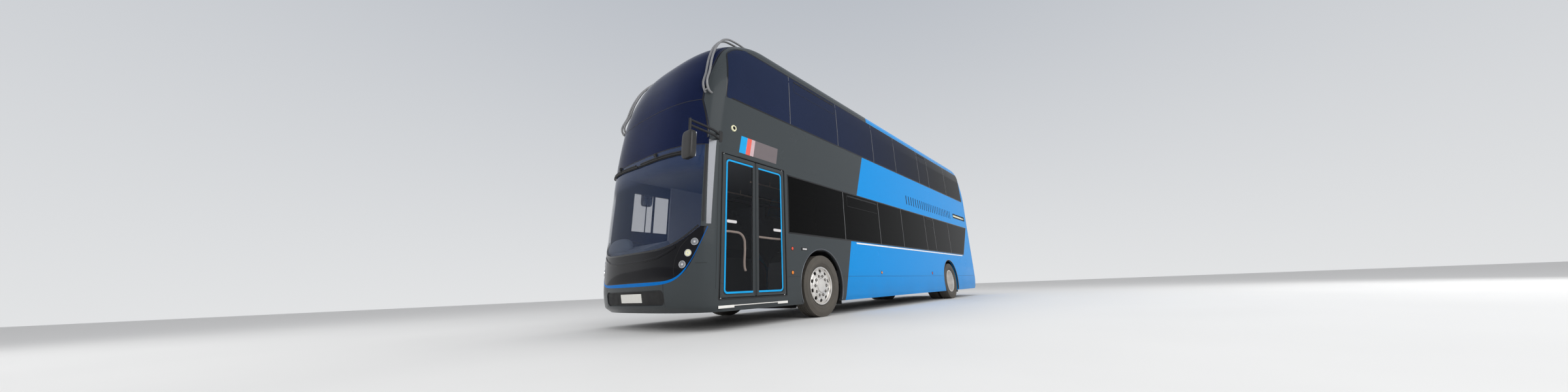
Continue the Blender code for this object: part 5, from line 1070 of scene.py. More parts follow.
def frontDetails():
    lamps = []
    for side in (1, -1):
        for number, (x, z) in enumerate(lampRows["front"]):
            glow = creamLens if number == 1 else clearLens
            lamps += lampUnit(f"headlamp{side}{number}", frontSpot, side * x, z, lampRows["frontRadius"], glow,
                              chrome)
    settle(merge("frontLamps", lamps), "black_gloss")
    # blue line under the mask, thick at the middle and thin up the sides
    line = frontCurve(1.222, 0.592, 9)

    def spread(x, z):
        return 0.010 + 0.034 * max(0, 1 - (abs(x) / 1.10) ** 3)

    # the painted corner highlight grows wider towards the top
    def highlightStripWidth(x, z):
        return 0.060 + 0.040 * (z - 1.27) / 1.13
    low = [(x, z - 0.42 * spread(x, z)) for x, z in line if abs(x) < 1.06]
    trims = ribbons(frontSpot, ("maskLineLow", low, spread, 0.0014, maskBlue))
    for side in (1, -1):
        flank = [(x, z - 0.42 * spread(x, z)) for x, z in line if side * x > 1.04][::side]
        trims += ribbons(frontSpot, (f"maskLineFlank{side}", flank, spread, 0.0012, flankTape, 0.02))
    settle(merge("maskLine", trims), "body_grey")
    half = ((0.02, 0.86), (0.35, 0.862), (0.60, 0.885), (0.78, 0.94), (0.90, 1.00))
    crease = [(-x, z) for x, z in reversed(half)] + list(half)
    lines = ribbons(frontSpot, ("maskCrease", crease, 0.030, 0.006, blackGloss, 0.02))
    for side in (1, -1):
        # up each front corner a lighter silver strip is a painted highlight on the body-coloured corner
        pod, seam, corner, black, bright = ([(side * x, z) for x, z in route] for route in (
            ((0.90, 0.63), (0.88, 0.72), (0.905, 0.86), (0.97, 1.0), (1.06, 1.10)), ((0.72, 0.24), (0.72, 0.585)),
            ((1.135, 0.795), (1.225, 0.795)), [(1.189, z) for z in (1.30, 1.6, 1.9, 2.2, 2.33)],
            [(1.226, z) for z in (1.27, 1.5, 1.8, 2.1, 2.40)]))
        lines += ribbons(frontSpot, (f"podSeam{side}", pod, 0.005, 0.0006, recess, 0.02),
                         (f"bumperSeam{side}", seam, 0.005, 0.0005, recess),
                         (f"cornerSeam{side}", corner, 0.005, 0.0005, recess, 0.01),
                         (f"screenEdge{side}", black, 0.032, 0.002, seal, 0.1),
                         (f"cornerPost{side}", bright, highlightStripWidth, 0.0022, postSilver, 0.1))
    foot = [(x * 0.985, z + 0.012) for x, z in frontCurve(1.17, 0.965, 5)]
    lines += ribbons(frontSpot, ("screenTop", [(-1.17, 2.333), (1.17, 2.333)], 0.012, 0.001, seal),
                     ("destinationTop", [(-1.10, 3.02), (1.10, 3.02)], 0.010, 0.001, seal),
                     ("screenFoot", foot, 0.022, 0.001, frit, 0.05))
    for side in (1, -1):
        edge = [(side * 1.088, 4.08)] + [(side * (x - 0.012), z) for x, z in screenOutline(0)[1:12]]
        lines += ribbons(frontSpot, (f"upperEdge{side}", edge, 0.022, 0.001, frit, 0.06))
    settle(merge("frontLines", lines), "black_gloss")
    level = 0.4075
    back, face, sign = [(-0.70, level), (0.70, level)], [(-0.26, level), (0.26, level)], [(-0.78, 2.70),
                                                                                          (0.78, 2.70)]
    settle(merge("frontPlate", [ribbon("plateBack", behindSkin(0.0155), back, 0.165, 0.002, recess, 0.04),
                                ribbon("plateFace", behindSkin(0.012), face, 0.112, 0.003, plateBlank, 0.05)]),
           "body_grey")
    settle(ribbon("destinationSign", behindSkin(0.035), sign, 0.42, 0.004, displayNavy, 0.06), "black_gloss")


def levelAt(x):
    # the blades climb a little towards the offside
    return 2.225 + 0.05 * max(0, -x)


def wiperPieces():
    # two blades end to end, each with a spine, a lip, an arm, a boss and two clips
    parts = []
    bossProfile = [(0, 0.034), (0.014, 0.033), (0.026, 0.022), (0.028, 0.0), (0.028, -0.05), (0, -0.05)]
    for number, (start, stop) in enumerate(((-1.06, -0.03), (-0.01, 0.96))):
        for kind, inset, lift, out, radius, finish in (("Blade", 0, 0, 0.020, 0.012, seal),
                                                       ("Spine", 0.06, 0.026, 0.016, 0.012, seal),
                                                       ("Lip", 0, -0.016, 0.010, 0.006, recess)):
            places = [start + inset + (stop - start - 2 * inset) * k / 6 for k in range(7)]
            spots = [frontSpot(x, levelAt(x) + lift, out) for x in places]
            parts.append(pipe(f"wiper{kind}{number}", spots, radius, finish))
        middle = (start + stop) / 2
        bossX, level = middle - 0.08, levelAt(middle)
        arm = [frontSpot(bossX, level + 0.08, 0.020), frontSpot(bossX + 0.04, level + 0.05, 0.030),
               frontSpot(middle, level + 0.005, 0.027)]
        parts.append(pipe(f"wiperArm{number}", arm, 0.011, seal))
        boss = lathe(f"wiperBoss{number}", bossProfile, seal, 28)
        boss.data.transform(facing(frontSpot(bossX, level + 0.08), outwards(frontSpot, bossX, level + 0.08)))
        parts.append(boss)
        half = Vector((0.03, 0.006, 0.009))
        for count, x in enumerate(start + (stop - start) * k / 4 for k in (1, 3)):
            spot = frontSpot(x, levelAt(x), 0.022)
            parts += softRows((f"wiperClip{number}{count}", spot - half, spot + half, seal, 0.003))
    settle(merge("wiperSet", parts), "rubber", "wipers")


frontDetails()
wiperPieces()
print("front dressed")


# Tail
tail = {"half": 0.92, "cover": (0.46, 1.50), "window": (3.16, 3.94), "corner": 0.07, "hingeRise": 0.004,
        "room": 0.008, "barrel": 0.010, "barrelLength": 0.06, "hingeShare": 0.70}


def hingeHalves(name, level, finish, onLid):
    made = []
    for side in (1, -1):
        middle = side * tail["half"] * tail["hingeShare"]
        y = rearSpot(0, level).y + 0.016
        near, far = (middle - tail["barrelLength"], middle) if onLid else (middle + coach["gap"],
                                                                           middle + tail["barrelLength"])
        long, wide = far - near, tail["barrel"]
        profile = [(0, long), (0.0085, long), (wide, long - 0.0015), (wide, 0.0015), (0.0085, 0), (0, 0)]
        barrel = lathe(f"{name}{side}Barrel", profile, finish, 28)
        barrel.data.transform(Matrix.Translation((near, y, level)) @ sideways)
        low, high = (level - 0.04, level) if onLid else (level, level + 0.04)
        root = min(rearSpot(0, low).y, rearSpot(0, high).y) - 0.012
        made += [barrel] + softRows((f"{name}{side}Strap", (near + 0.004, root, low),
                                     (far - 0.004, y + 0.004, high),
                                     finish, 0.003))
    return made


def lidOutline(key, inset, radius, count):
    half, (low, high) = tail["half"] - inset, tail[key]
    return roundedBox(-half, half, low + inset, high - inset, radius, count)


def tailEnd():
    split, behind, gap = coach["tailSplit"], coach["behind"], coach["gap"]
    raw = blocks("rearPanel", [((-coach["beside"], split + gap / 2, coach["under"]),
                                  (coach["beside"], behind, coach["roofSplit"] - gap / 2))], paint)
    openings = [prism(key + "Opening", lidOutline(key, -tail["room"], 0.078, 10), "Y", 5.45, behind)
                for key in ("cover", "window")]
    coverPin, windowPin = (tail[key][1] + tail["hingeRise"] for key in ("cover", "window"))
    panel(raw, innerSkin, "body_blue", "rear_panel", openings)
    settle(merge("tailHinges", hingeHalves("fixedCoverHinge", coverPin, seal, False)
                 + hingeHalves("fixedWindowHinge", windowPin, seal, False)), "rubber")
    cover = prism("engineCoverPanel", lidOutline("cover", 0, tail["corner"], 10), "Y", split, behind, paint)
    slots = blocks("coverSlots", [((-0.62, 5.70, z), (0.62, behind, z + 0.022))
                                  for z in (0.60, 0.66, 0.72, 0.78, 0.84, 0.90)])
    panel(cover, innerSkin, "body_blue", "engine_cover", [slots], body="engine_cover_lid")
    y = rearSpot(0, 0.52).y
    extra = [runTree("coverSlats", "barsInRow", seal, Count=6, Start=(0, rearSpot(0, 0.7).y - 0.035, 0.622),
                     Step=(0, 0, 0.06), Size=(1.25, 0.012, 0.030))]
    extra += softRows(("coverCatch", (-0.06, y - 0.01, 0.50), (0.06, y + 0.0012, 0.53), seal, 0.001))
    extra += hingeHalves("coverHinge", coverPin, seal, True)
    extra += ribbons(rearSpot, ("coverSeal", lidOutline("cover", 0.008, 0.066, 8), 0.010, 0.0008, seal, 0.08, True))
    settle(merge("coverParts", extra), "rubber", body="engine_cover_lid")
    window = prism("rearWindowPane", lidOutline("window", 0, tail["corner"], 10), "Y", split, behind, sideGlass)
    panel(window, innerSkin, "tinted_glass", "rear_emergency_window", body="rear_exit_window")
    extra = ribbons(rearSpot, ("rearWindowFrit", lidOutline("window", 0.015, 0.06, 8), 0.028, 0.001, frit, 0.08,
                               True))
    extra += hingeHalves("windowHinge", windowPin, seal, True)
    settle(merge("rearWindowParts", extra), "rubber", body="rear_exit_window")
    lamps = []
    for side in (1, -1):
        for number, (glow, (x, z)) in enumerate(zip((redLens, amberLens, redLens), lampRows["rear"])):
            lamps += lampUnit(f"tailLamp{side}{number}", rearSpot, side * x, z, lampRows["rearRadius"], glow, seal)
        spot = (side * 1.02, 3.98)
        lamps += dome(f"highStop{side}", rearSpot(*spot), outwards(rearSpot, *spot), 0.03, 0.008, redLens, seal)
    settle(merge("tailLamps", lamps), "body_blue")
    extra = ribbons(rearSpot, ("tailPlate", [(-0.26, 0.36), (0.26, 0.36)], 0.112, -0.0008, plateBlank, 0.05, False,
                               0.006),
                    ("tailSkirtSeam", [(-1.20, 0.44), (1.20, 0.44)], 0.005, 0.0005, recess),
                    ("tailDeckSeam", [(-1.24, 2.34), (1.24, 2.34)], 0.005, 0.0005, recess))
    settle(merge("tailLines", extra), "rubber")


tailEnd()
print("tail built")


# Doors
door = {"front": -5.225, "rear": -4.015, "low": 0.38, "high": 2.235, "stile": 0.045, "rail": 0.05,
        "face": 1.271, "thick": 0.036, "tape": 0.024, "grabX": 1.222}


def doorLeaf(name, node, body, start, stop, hingeY, hingeSide):
    face, back, low, high = door["face"], door["face"] - door["thick"], door["low"], door["high"]
    a, b, c, d = inside = (start + door["stile"], stop - door["stile"], low + 0.03, high - door["rail"])
    outer = prism(name + "Frame", roundedBox(start, stop, low, high, 0.012, 3), "X", back, face, paint)
    opening = prism(name + "Opening", roundedBox(*inside, 0.05, 8), "X", back - 0.02, face + 0.02)
    parts = [roundEdges(carve(outer, cuts=[opening]), 0.003),
             prism(name + "Pane", roundedBox(*inside, 0.05, 8), "X", face - 0.008, face - 0.002, doorGlass)]

    def onDoor(y, z, out=0.0):
        return Vector((face - 0.002 + out, y, z))
    # bright tape round the outer three sides of the pane
    t, r = door["tape"] / 2 + 0.012, 0.045
    loose, x, way = (b - 0.004, a + t + r, 90) if hingeSide < 0 else (a + 0.004, b - t - r, -90)
    route = ([(loose, d - t)] + arcPoints((x, d - t - r), r, 90, 90 + way, 6)
             + arcPoints((x, c + t + r), r, 90 + way, 90 + 2 * way, 6) + [(loose, c + t)])
    parts += ribbons(onDoor, (name + "Seal", roundedBox(a + 0.004, b - 0.004, c + 0.004, d - 0.004, 0.05), 0.012,
                              0.0016, seal, 0.2, True), (name + "Tape", route, door["tape"], 0.0022, cyanTape, 0.3))
    pins = lathe(name + "Pin", [(0, 1.8743), (0.012, 1.8743), (0.012, 0), (0, 0)], brushed, 24)
    pins.data.transform(Matrix.Translation(((face + back) / 2, hingeY, low - 0.0097)))
    parts.append(pins)
    x = door["grabX"]
    if hingeSide < 0:
        spots = [(x + 0.013, a + 0.006, 1.20), (x, a + 0.045, 1.20), (x, a + 0.20, 1.20), (x, a + 0.32, 1.185),
                 (x, a + 0.385, 1.12), (x, a + 0.40, 1.02), (x, a + 0.40, 0.74), (x + 0.02, a + 0.40, 0.70)]
        y, z, middle = a + 0.04, 1.325, b + 0.0225
    else:
        spots = [(x + 0.02, a + 0.004, 1.17), (x, a + 0.03, 1.17), (x, b - 0.06, 1.165),
                 (x + 0.013, b - 0.02, 1.165)]
        y, z, middle = b - 0.20, 1.285, a - 0.0225
    parts.append(pipe(name + "Rail", [Vector(spot) for spot in spots], 0.016, copperRail))
    parts.append(prism(name + "Label", roundedBox(y, y + 0.17, z - 0.019, z + 0.019, 0.018, 4), "X", face - 0.0018,
                       face - 0.0008, paleLabel))
    middle -= 0.006 * hingeSide
    parts += softRows((name + "MeetingSeal", (back + 0.004, middle - 0.007, low + 0.01),
                       (face + 0.001, middle + 0.007, high - 0.01), seal, 0.003))
    settle(merge(name, parts), "body_grey", node, body=body)


middleY = (door["front"] + door["rear"]) / 2
doorLeaf("doorFrontLeaf", "door_front_leaf", "front_door_leaf", door["front"], middleY - 0.006,
         door["front"] + 0.02, -1)
doorLeaf("doorRearLeaf", "door_rear_leaf", "rear_door_leaf", middleY + 0.006, door["rear"], door["rear"] - 0.02, 1)


def doorSurround():
    parts = ribbons(sideSpot, ("doorwaySeal", roundedBox(-5.247, -3.993, 0.364, 2.251, 0.01, 2), 0.012, 0.001, seal,
                               0.3, True))
    parts += softRows(("stepEdge", (1.235, -5.24, 0.352), (1.2758, -4.0, 0.3695), seal, 0.003),
                      ("stepLine", (1.2735, -5.0, 0.278), (1.2764, -4.2, 0.288), whiteTape, 0.001))
    parts.append(softBlocks("stepEnds", [((1.2735, -5.25, 0.258), (1.2768, -5.0, 0.290)),
                                         ((1.2735, -4.2, 0.258), (1.2768, -3.99, 0.290))], whiteTape, 0.0012))
    settle(merge("doorSurround", parts), "rubber")


doorSurround()
print("doors hung")


# Wheels and tyres
wheel = {"radius": 0.48, "rim": 0.286, "half": 0.11, "width": 0.275, "x": 1.1275, "twin": 0.33, "holes": 10,
         "holeRadius": 0.028, "holeRing": 0.805, "rearHoleRing": 0.64, "nutRing": 0.53, "rearNutRing": 0.50,
         "nuts": 10, "treadBlocks": 66}


def spunTyre(name, x, y, body, node):
    R, seat, half = wheel["radius"], wheel["rim"] + coach["gap"], wheel["width"] / 2
    outer = [(seat + rise, half * share) for rise, share in (
        (0, 0.60), (0.016, 0.66), (0.030, 0.80), (0.05, 0.90), (0.066, 0.955), (0.068, 0.975), (0.076, 0.98),
        (0.078, 0.965), (0.100, 0.995), (0.120, 1), (0.138, 0.985), (0.140, 0.965), (0.150, 0.955), (0.170, 0.92),
        (0.181, 0.875))] + [(R - 0.0085, half * 0.80), (R - 0.0075, half * 0.72)]
    profile = outer + [(radius, -height) for radius, height in reversed(outer)]
    carcass = lathe(name + "Carcass", profile, tyreRubber)
    carcass.data.transform(sideways)
    parts = [carcass]
    count = wheel["treadBlocks"]
    for number, (share, width, length) in enumerate(((-0.72, 0.044, 0.0438), (-0.36, 0.036, 0.0425),
                                                     (0.0, 0.034, 0.0425), (0.36, 0.036, 0.0425),
                                                     (0.72, 0.044, 0.0438))):
        parts.append(runTree(f"{name}Tread{number}", "blocksRound", tyreRubber, 20, Count=count, Radius=R - 0.0080,
                             Phase=number * math.pi / count, Size=(width, 0.0148, length),
                             Centre=(share * half, 0, 0)))
    made = merge(name, parts)
    made.data.transform(Matrix.Translation((x, y, R)))
    settle(made, "tyre", node, body=body)


def holeCutter(name, ring):
    bm = bmesh.new()
    radius = wheel["holeRadius"]
    for index in range(wheel["holes"]):
        angle = 2 * math.pi * (index + 0.5) / wheel["holes"]
        turn = (Matrix.Rotation(angle, 4, "X") @ Matrix.Translation((0, ring, 0)) @ Matrix.Diagonal((1, 1, 1.15, 1))
                @ sideways)
        bmesh.ops.create_cone(bm, cap_ends=True, segments=28, radius1=radius, radius2=radius, depth=0.5,
                              matrix=turn)
    return fromBmesh(name, bm)


def rimEdge(low, high):
    rim = wheel["rim"]
    return [(rim + 0.009, high), (rim + 0.013, high - 0.003), (rim + 0.014, high - 0.011), (rim, high - 0.014),
            (rim, low + 0.014), (rim + 0.014, low + 0.011), (rim + 0.013, low + 0.003), (rim + 0.009, low)]


def finishWheel(name, profile, holeRing, nutRing, height, side, x, y, body, node):
    # a turned disc with its hand holes and its nuts on studs, turned about for the offside
    disc = lathe(name + "Disc", profile, alloy)
    disc.data.transform(sideways)
    carve(disc, cuts=[holeCutter(name + "Holes", holeRing * wheel["rim"])])
    parts = [disc]
    # near-black discs under the nuts are painted shade at the nut seats
    for label, kind, finish, lift, size in (("Dimples", "discsRound", recess, -0.0012, (0.004, 0.025, 0)),
                                            ("Nuts", "nutsRound", hubSteel, 0.008, (0.022, 0.0175, 0)),
                                            ("Studs", "discsRound", hubSteel, 0.012, (0.034, 0.0085, 0))):
        parts.append(runTree(name + label, kind, finish, Count=wheel["nuts"], Radius=nutRing * wheel["rim"],
                             Phase=0.0,
                             Size=size, Centre=(height + lift, 0, 0)))
    made = merge(name, parts)
    if side < 0:
        made.data.transform(Matrix.Rotation(math.pi, 4, "Z"))
    made.data.transform(Matrix.Translation((side * x, y, wheel["radius"])))
    settle(made, "alloy", node, body=body)


def frontWheel(name, side, body, node):
    R, half, thick = wheel["rim"], wheel["half"], 0.020
    face = [(0, 1.10), (0.20, 1.095), (0.30, 1.08), (0.345, 1.065), (0.37, 1.03), (0.378, 0.98), (0.380, 0.95),
            (0.39, 0.93), (0.42, 0.90), (0.60, 0.885), (0.64, 0.86), (0.655, 0.80), (0.675, 0.775), (0.70, 0.80),
            (0.74, 0.82), (0.85, 0.78), (0.89, 0.70), (0.905, 0.62), (0.925, 0.60), (0.955, 0.66), (0.975, 0.82),
            (0.985, 0.95)]
    dish = [(r * R, h * half - thick) for r, h in reversed(face[7:18])]
    profile = [(r * R, h * half) for r, h in face] + rimEdge(-half, half) + [
        (R - 0.022, -half), (R - 0.022, dish[0][1])] + dish + [
        (0.12, -0.005), (0.0312, -0.005), (0.0312, 0.046), (0, 0.046)]
    finishWheel(name, profile, wheel["holeRing"], wheel["nutRing"], 0.89 * half, side, wheel["x"],
                coach["frontAxle"],
                body, node)


def rearWheels(name, side, body, node):
    R, half, pitch = wheel["rim"], wheel["half"], wheel["twin"] / 2
    hub = [(0, 1.02), (0.10, 1.02), (0.22, 1.00), (0.285, 0.95), (0.30, 0.86), (0.335, 0.70), (0.35, 0.30),
           (0.36, 0.20), (0.44, 0.17), (0.60, 0.15), (0.78, 0.12), (0.86, 0.14)]
    profile = [(r * R, h * pitch) for r, h in hub] + [
        (R - 0.022, pitch - half), (R - 0.024, pitch + half * 0.7), (R - 0.012, pitch + half)] + rimEdge(
        pitch - half, pitch + half) + rimEdge(-pitch - half, -pitch + half) + [
        (R - 0.022, -pitch - half), (R - 0.022, -0.027), (0.12, -0.027), (0.12, -0.005), (0.0512, -0.005),
        (0.0512, 0.046), (0, 0.046)]
    finishWheel(name, profile, wheel["rearHoleRing"], wheel["rearNutRing"], 0.165 * pitch, side, wheel["x"] - pitch,
                coach["rearAxle"], body, node)


for sideName, side in (("nearside", 1), ("offside", -1)):
    label = sideName.title()
    frontBody, rearBody = f"front_{sideName}_wheel", f"rear_{sideName}_wheels"
    frontWheel("frontWheel" + label, side, frontBody, f"front_wheel_{sideName}")
    spunTyre("frontTyre" + label, side * wheel["x"], coach["frontAxle"], frontBody, f"front_tyre_{sideName}")
    rearWheels("rearWheels" + label, side, rearBody, f"rear_wheels_{sideName}")
    for kind, node, x in (("Outer", "outer", wheel["x"]), ("Inner", "inner", wheel["x"] - wheel["twin"])):
        spunTyre(f"rear{kind}Tyre{label}", side * x, coach["rearAxle"], rearBody, f"rear_{node}_tyre_{sideName}")
print("wheels fitted")


# Mirrors and guard rails
mirror = {"tube": 0.016, "post": 0.018, "pitch": 0.07}


def roundHead(name, centre, size, power, finish):
    # a soft-cornered housing
    bm = bmesh.new()
    bmesh.ops.create_cube(bm, size=2)
    bmesh.ops.subdivide_edges(bm, edges=bm.edges, cuts=9, use_grid_fill=True)
    for vert in bm.verts:
        norm = sum(abs(value) ** power for value in vert.co) ** (1 / power)
        vert.co = Vector(value / norm * half for value, half in zip(vert.co, (length / 2 for length in size)))
        vert.co += Vector(centre)
    made = fromBmesh(name, bm, finish)
    softShade(made.data, 60)
    return made


def mirrorSet(name, node, foot, elbow, head, size, glassFace):
    foot, elbow, head, glassFace = (Vector(spot) for spot in (foot, elbow, head, glassFace))
    lift, top = Vector((0, 0, mirror["pitch"])), Vector((head.x, head.y, elbow.z))
    bend, on = (elbow - foot).normalized() * 0.03, (top - elbow).normalized() * 0.03
    parts = [pipe(f"{name}Arm{count}", [foot + up, elbow + up - bend, elbow + up + on, top + up], mirror["tube"],
                  seal)
             for count, up in enumerate((Vector((0, 0, 0)), lift))]
    parts.append(pipe(name + "Post", [top + lift * 1.25, top, head], mirror["post"], seal))
    middle, half, cap = foot + lift / 2, Vector((0.046, 0.055, 0.085)), Vector((0.047, 0.02, 0.055))
    parts += softRows((name + "Foot", middle - half, middle + half, seal, 0.012, 3),
                      (name + "FootCap", middle - cap, middle + cap, mirrorShell, 0.005))
    parts.append(roundHead(name + "Head", head, size, 5.0, mirrorShell))
    flat = Vector((size[0] * 0.40, size[1] * 0.40, size[2] * 0.44))
    if glassFace.y:
        depth = size[1] / 2
        low, high = Vector((-flat.x, depth - 0.012, -flat.z)), Vector((flat.x, depth + 0.0002, flat.z))
    else:
        depth = glassFace.x * size[0] / 2
        low, high = Vector((depth - 0.012, -flat.y, -flat.z)), Vector((depth, flat.y, flat.z))
    parts += softRows((name + "Glass", head + low, head + high, mirrorFace, 0.004))
    settle(merge(name, parts), "black_gloss", node)


mirrorSet("mirrorNearside", "mirror_nearside", (1.22, -5.24, 2.43), (1.31, -5.42, 2.43), (1.36, -5.83, 2.17),
          (0.20, 0.10, 0.36), (0, 1, 0))
mirrorSet("mirrorOffside", "mirror_offside", (-1.22, -5.07, 2.43), (-1.41, -4.98, 2.43), (-1.41, -4.79, 2.17),
          (0.10, 0.20, 0.36), (1, 0, 0))

guard = {"tube": 0.0165, "pitch": 0.085,
         "route": ((0.894, 0.833, 0.728), (0.933, 0.894, 0.735), (0.910, 0.879, 0.814), (0.878, 0.845, 0.895),
                   (0.839, 0.795, 0.953), (0.800, 0.727, 0.995), (0.769, 0.644, 1.012), (0.753, 0.549, 1.0135),
                   (0.745, 0.477, 1.0103), (0.745, 0.462, 0.981))}


def guardRail(name, node, side):
    parts, runs = [], []
    for inward in (0, guard["pitch"]):
        spots = [Vector((side * (x * coach["halfWidth"] - inward), -coach["frontOverhang"] * y + coach["frontAxle"],
                         z * coach["height"])) for x, y, z in guard["route"]]
        parts.append(pipe(f"{name}Tube{inward}", spots, guard["tube"], railGrey, True, 4))
        runs.append(spots)
    for index in (1, len(runs[0]) - 3):
        parts.append(pipe(f"{name}Cross{index}", [runs[0][index], runs[1][index]], 0.013, railGrey, False, 4))
    for index, spots in enumerate(runs):
        for end in (0, -1):
            parts.append(roundHead(f"{name}Pad{index}{end}", spots[end], (0.055, 0.055, 0.055), 3.0, seal))
    settle(merge(name, parts), "rail_grey", node)


guardRail("guardRailNearside", "guard_rail_nearside", 1)
guardRail("guardRailOffside", "guard_rail_offside", -1)
print("mirrors and rails fitted")


# Inside
def cushion(name, size, centre, lean, finish, power=6.0):
    # crowned, pulled in between its corners, with two sewn channels
    bm = bmesh.new()
    bmesh.ops.create_cube(bm, size=2)
    bmesh.ops.subdivide_edges(bm, edges=bm.edges, cuts=7, use_grid_fill=True)
    half = Vector(size) / 2
    for vert in bm.verts:
        x, y, z = vert.co
        norm = sum(abs(value) ** power for value in (x, y, z)) ** (1 / power)
        x, y, z = x / norm, y / norm, z / norm
        pull = 0.05 * (1 - x * x) * (abs(y) > 0.8) + 0.04 * (1 - y * y) * (abs(x) > 0.8)
        groove = sum(math.exp(-((x - at) / 0.06) ** 2) for at in (-0.45, 0.45))
        z = z * (1 - 0.10 * groove) * (0.86 + 0.14 * (1 - x * x) * (1 - y * y))
        vert.co = Vector((x * (1 - pull) * half.x, y * (1 - pull) * half.y, z * half.z))
    turn = Matrix.Translation(centre) @ Matrix.Rotation(lean, 4, "X")
    bmesh.ops.transform(bm, matrix=turn, verts=bm.verts)
    made = fromBmesh(name, bm, finish)
    step = made.modifiers.new("soft", "SUBSURF")
    step.levels = step.render_levels = 1
    return bakeShape(made, 60)


seat = {"width": 0.86, "pitch": 0.80, "height": 0.45, "backHeight": 1.05, "back": 0.08, "footLength": 0.52}
deckFloor = {"lower": 0.36, "upper": 2.40}
benchLean = math.atan2(0.08, 0.60)


def seatPair(name):
    # a double seat round its own middle, at y from its front edge and z from the floor
    lean = math.atan2(seat["back"], seat["backHeight"] - seat["height"])
    soft = []
    for side in (-1, 1):
        x = side * 0.213
        soft.append(cushion(f"{name}Base{side}", (0.405, 0.42, 0.10), (x, 0.215, 0.402), 0, moquette))
        soft.append(cushion(f"{name}Back{side}", (0.405, 0.60, 0.072), (x, 0.497, 0.742), math.pi / 2 - lean,
                            moquette))
    outline = [(0.44, 0.345), (0.455, 0.42), (0.545, 1.035), (0.56, 1.045), (0.556, 1.0), (0.505, 0.60),
               (0.478, 0.355)]
    hard = [prism(name + "Shell", outline, "X", -0.42, 0.42, trimGrey)]
    hard += softRows((name + "Pan", (-0.42, 0.02, 0.335), (0.42, 0.45, 0.352), trimGrey, 0.006))
    hard.append(softBlocks(name + "Legs", [((-0.30, 0.34, 0.03), (-0.27, 0.44, 0.335)),
                                           ((0.27, 0.34, 0.03), (0.30, 0.44, 0.335))], chassisBlack, 0.005))
    hard += softRows((name + "Foot", (-0.42, 0.0, 0.0015), (0.42, 0.50, 0.028), chassisBlack))
    return merge(name + "Soft", soft), merge(name + "Hard", hard)


def seatRow(name, node, side, floor):
    low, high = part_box(node)
    start, x = float(low[1]), side * (1.20 - seat["width"] / 2)
    count = int((float(high[1]) - start - seat["footLength"]) / seat["pitch"] + 1.001)
    pairSoft, pairHard = seatPair(name + "One")
    for kind, shape in (("Cushions", pairSoft), ("Frames", pairHard)):
        row = runTree(name + kind, "copiesInRow", None, 60, Count=count, Start=(x, start, floor),
                      Step=(0, seat["pitch"], 0), Shape=shape)
        for finish in shape.data.materials:
            if finish.name not in row.data.materials:
                row.data.materials.append(finish)
        if kind == "Cushions":
            settle(row, "seat_fabric", node)
        else:
            loops = [row]
            for number in range(count):
                y = start + number * seat["pitch"]
                spots = [Vector((x - side * inward, y + back, floor + up)) for inward, back, up in (
                    (0.38, 0.535, 0.95), (0.40, 0.56, 1.02), (0.34, 0.565, 1.045), (0.26, 0.55, 1.03))]
                loops.append(pipe(f"{name}Grab{number}", spots, 0.011, copperRail))
            settle(merge(row.name + "Set", loops), "trim")
        bpy.data.objects.remove(shape)


for deck in ("upper", "lower"):
    for sideName, side in (("nearside", 1), ("offside", -1)):
        seatRow(f"{deck}{sideName.title()}Seats", f"{deck}_seats_{sideName}", side, deckFloor[deck])


def benchAcross():
    y, floor = float(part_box("upper_rear_bench")[0][1]), deckFloor["upper"]
    soft = []
    for number in range(5):
        x = -0.944 + number * 0.472
        soft.append(cushion(f"benchBase{number}", (0.455, 0.42, 0.11), (x, y + 0.215, floor + 0.396), 0, moquette))
        soft.append(cushion(f"benchBack{number}", (0.455, 0.60, 0.076), (x, y + 0.505, floor + 0.742),
                            math.pi / 2 - benchLean, moquette))
    bench = settle(merge("rearBenchCushions", soft), "seat_fabric", "upper_rear_bench")
    outline = [(y + back, floor + up) for back, up in ((0.01, 0.002), (0.01, 0.335), (0.47, 0.345), (0.555, 1.04),
                                                       (0.585, 1.045), (0.52, 0.4), (0.50, 0.002))]
    settle(roundEdges(prism("rearBenchBox", outline, "X", -1.17, 1.17, trimGrey), 0.006), "trim")


benchAcross()


def driverPlace():
    low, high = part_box("driver_seat")
    y, x, floor = float(low[1]), (float(low[0]) + float(high[0])) / 2, deckFloor["lower"]
    soft = [cushion("driverBase", (0.415, 0.42, 0.105), (x, y + 0.215, floor + 0.40), 0, driverCloth),
            cushion("driverBack", (0.395, 0.56, 0.085), (x, y + 0.494, floor + 0.72), math.pi / 2 - benchLean,
                    driverCloth)]
    cloth = settle(merge("driverCushions", soft), "seat_fabric", "driver_seat")
    hard = [softBlocks("driver" + label, [((x - half, y + front, floor + down), (x + half, y + rear, floor + up))],
                       finish, edge)
            for label, half, front, rear, down, up, finish, edge in (
                ("Pan", 0.20, 0.03, 0.45, 0.30, 0.35, trimGrey, 0.01),
                ("Post", 0.09, 0.33, 0.44, 0.03, 0.30, seal, 0.01),
                ("Foot", 0.20, 0.01, 0.50, 0.002, 0.028, chassisBlack, 0.005))]
    outline = [(y + back, floor + up) for back, up in ((0.45, 0.34), (0.53, 1.02), (0.556, 1.03), (0.485, 0.35))]
    hard.append(prism("driverShell", outline, "X", x - 0.18, x + 0.18, trimGrey))
    settle(merge("driverFrame", hard), "trim")


driverPlace()

steering = {"centre": (-0.78, -5.175, 1.14), "tilt": 28, "radius": 0.225, "tube": 0.0135}


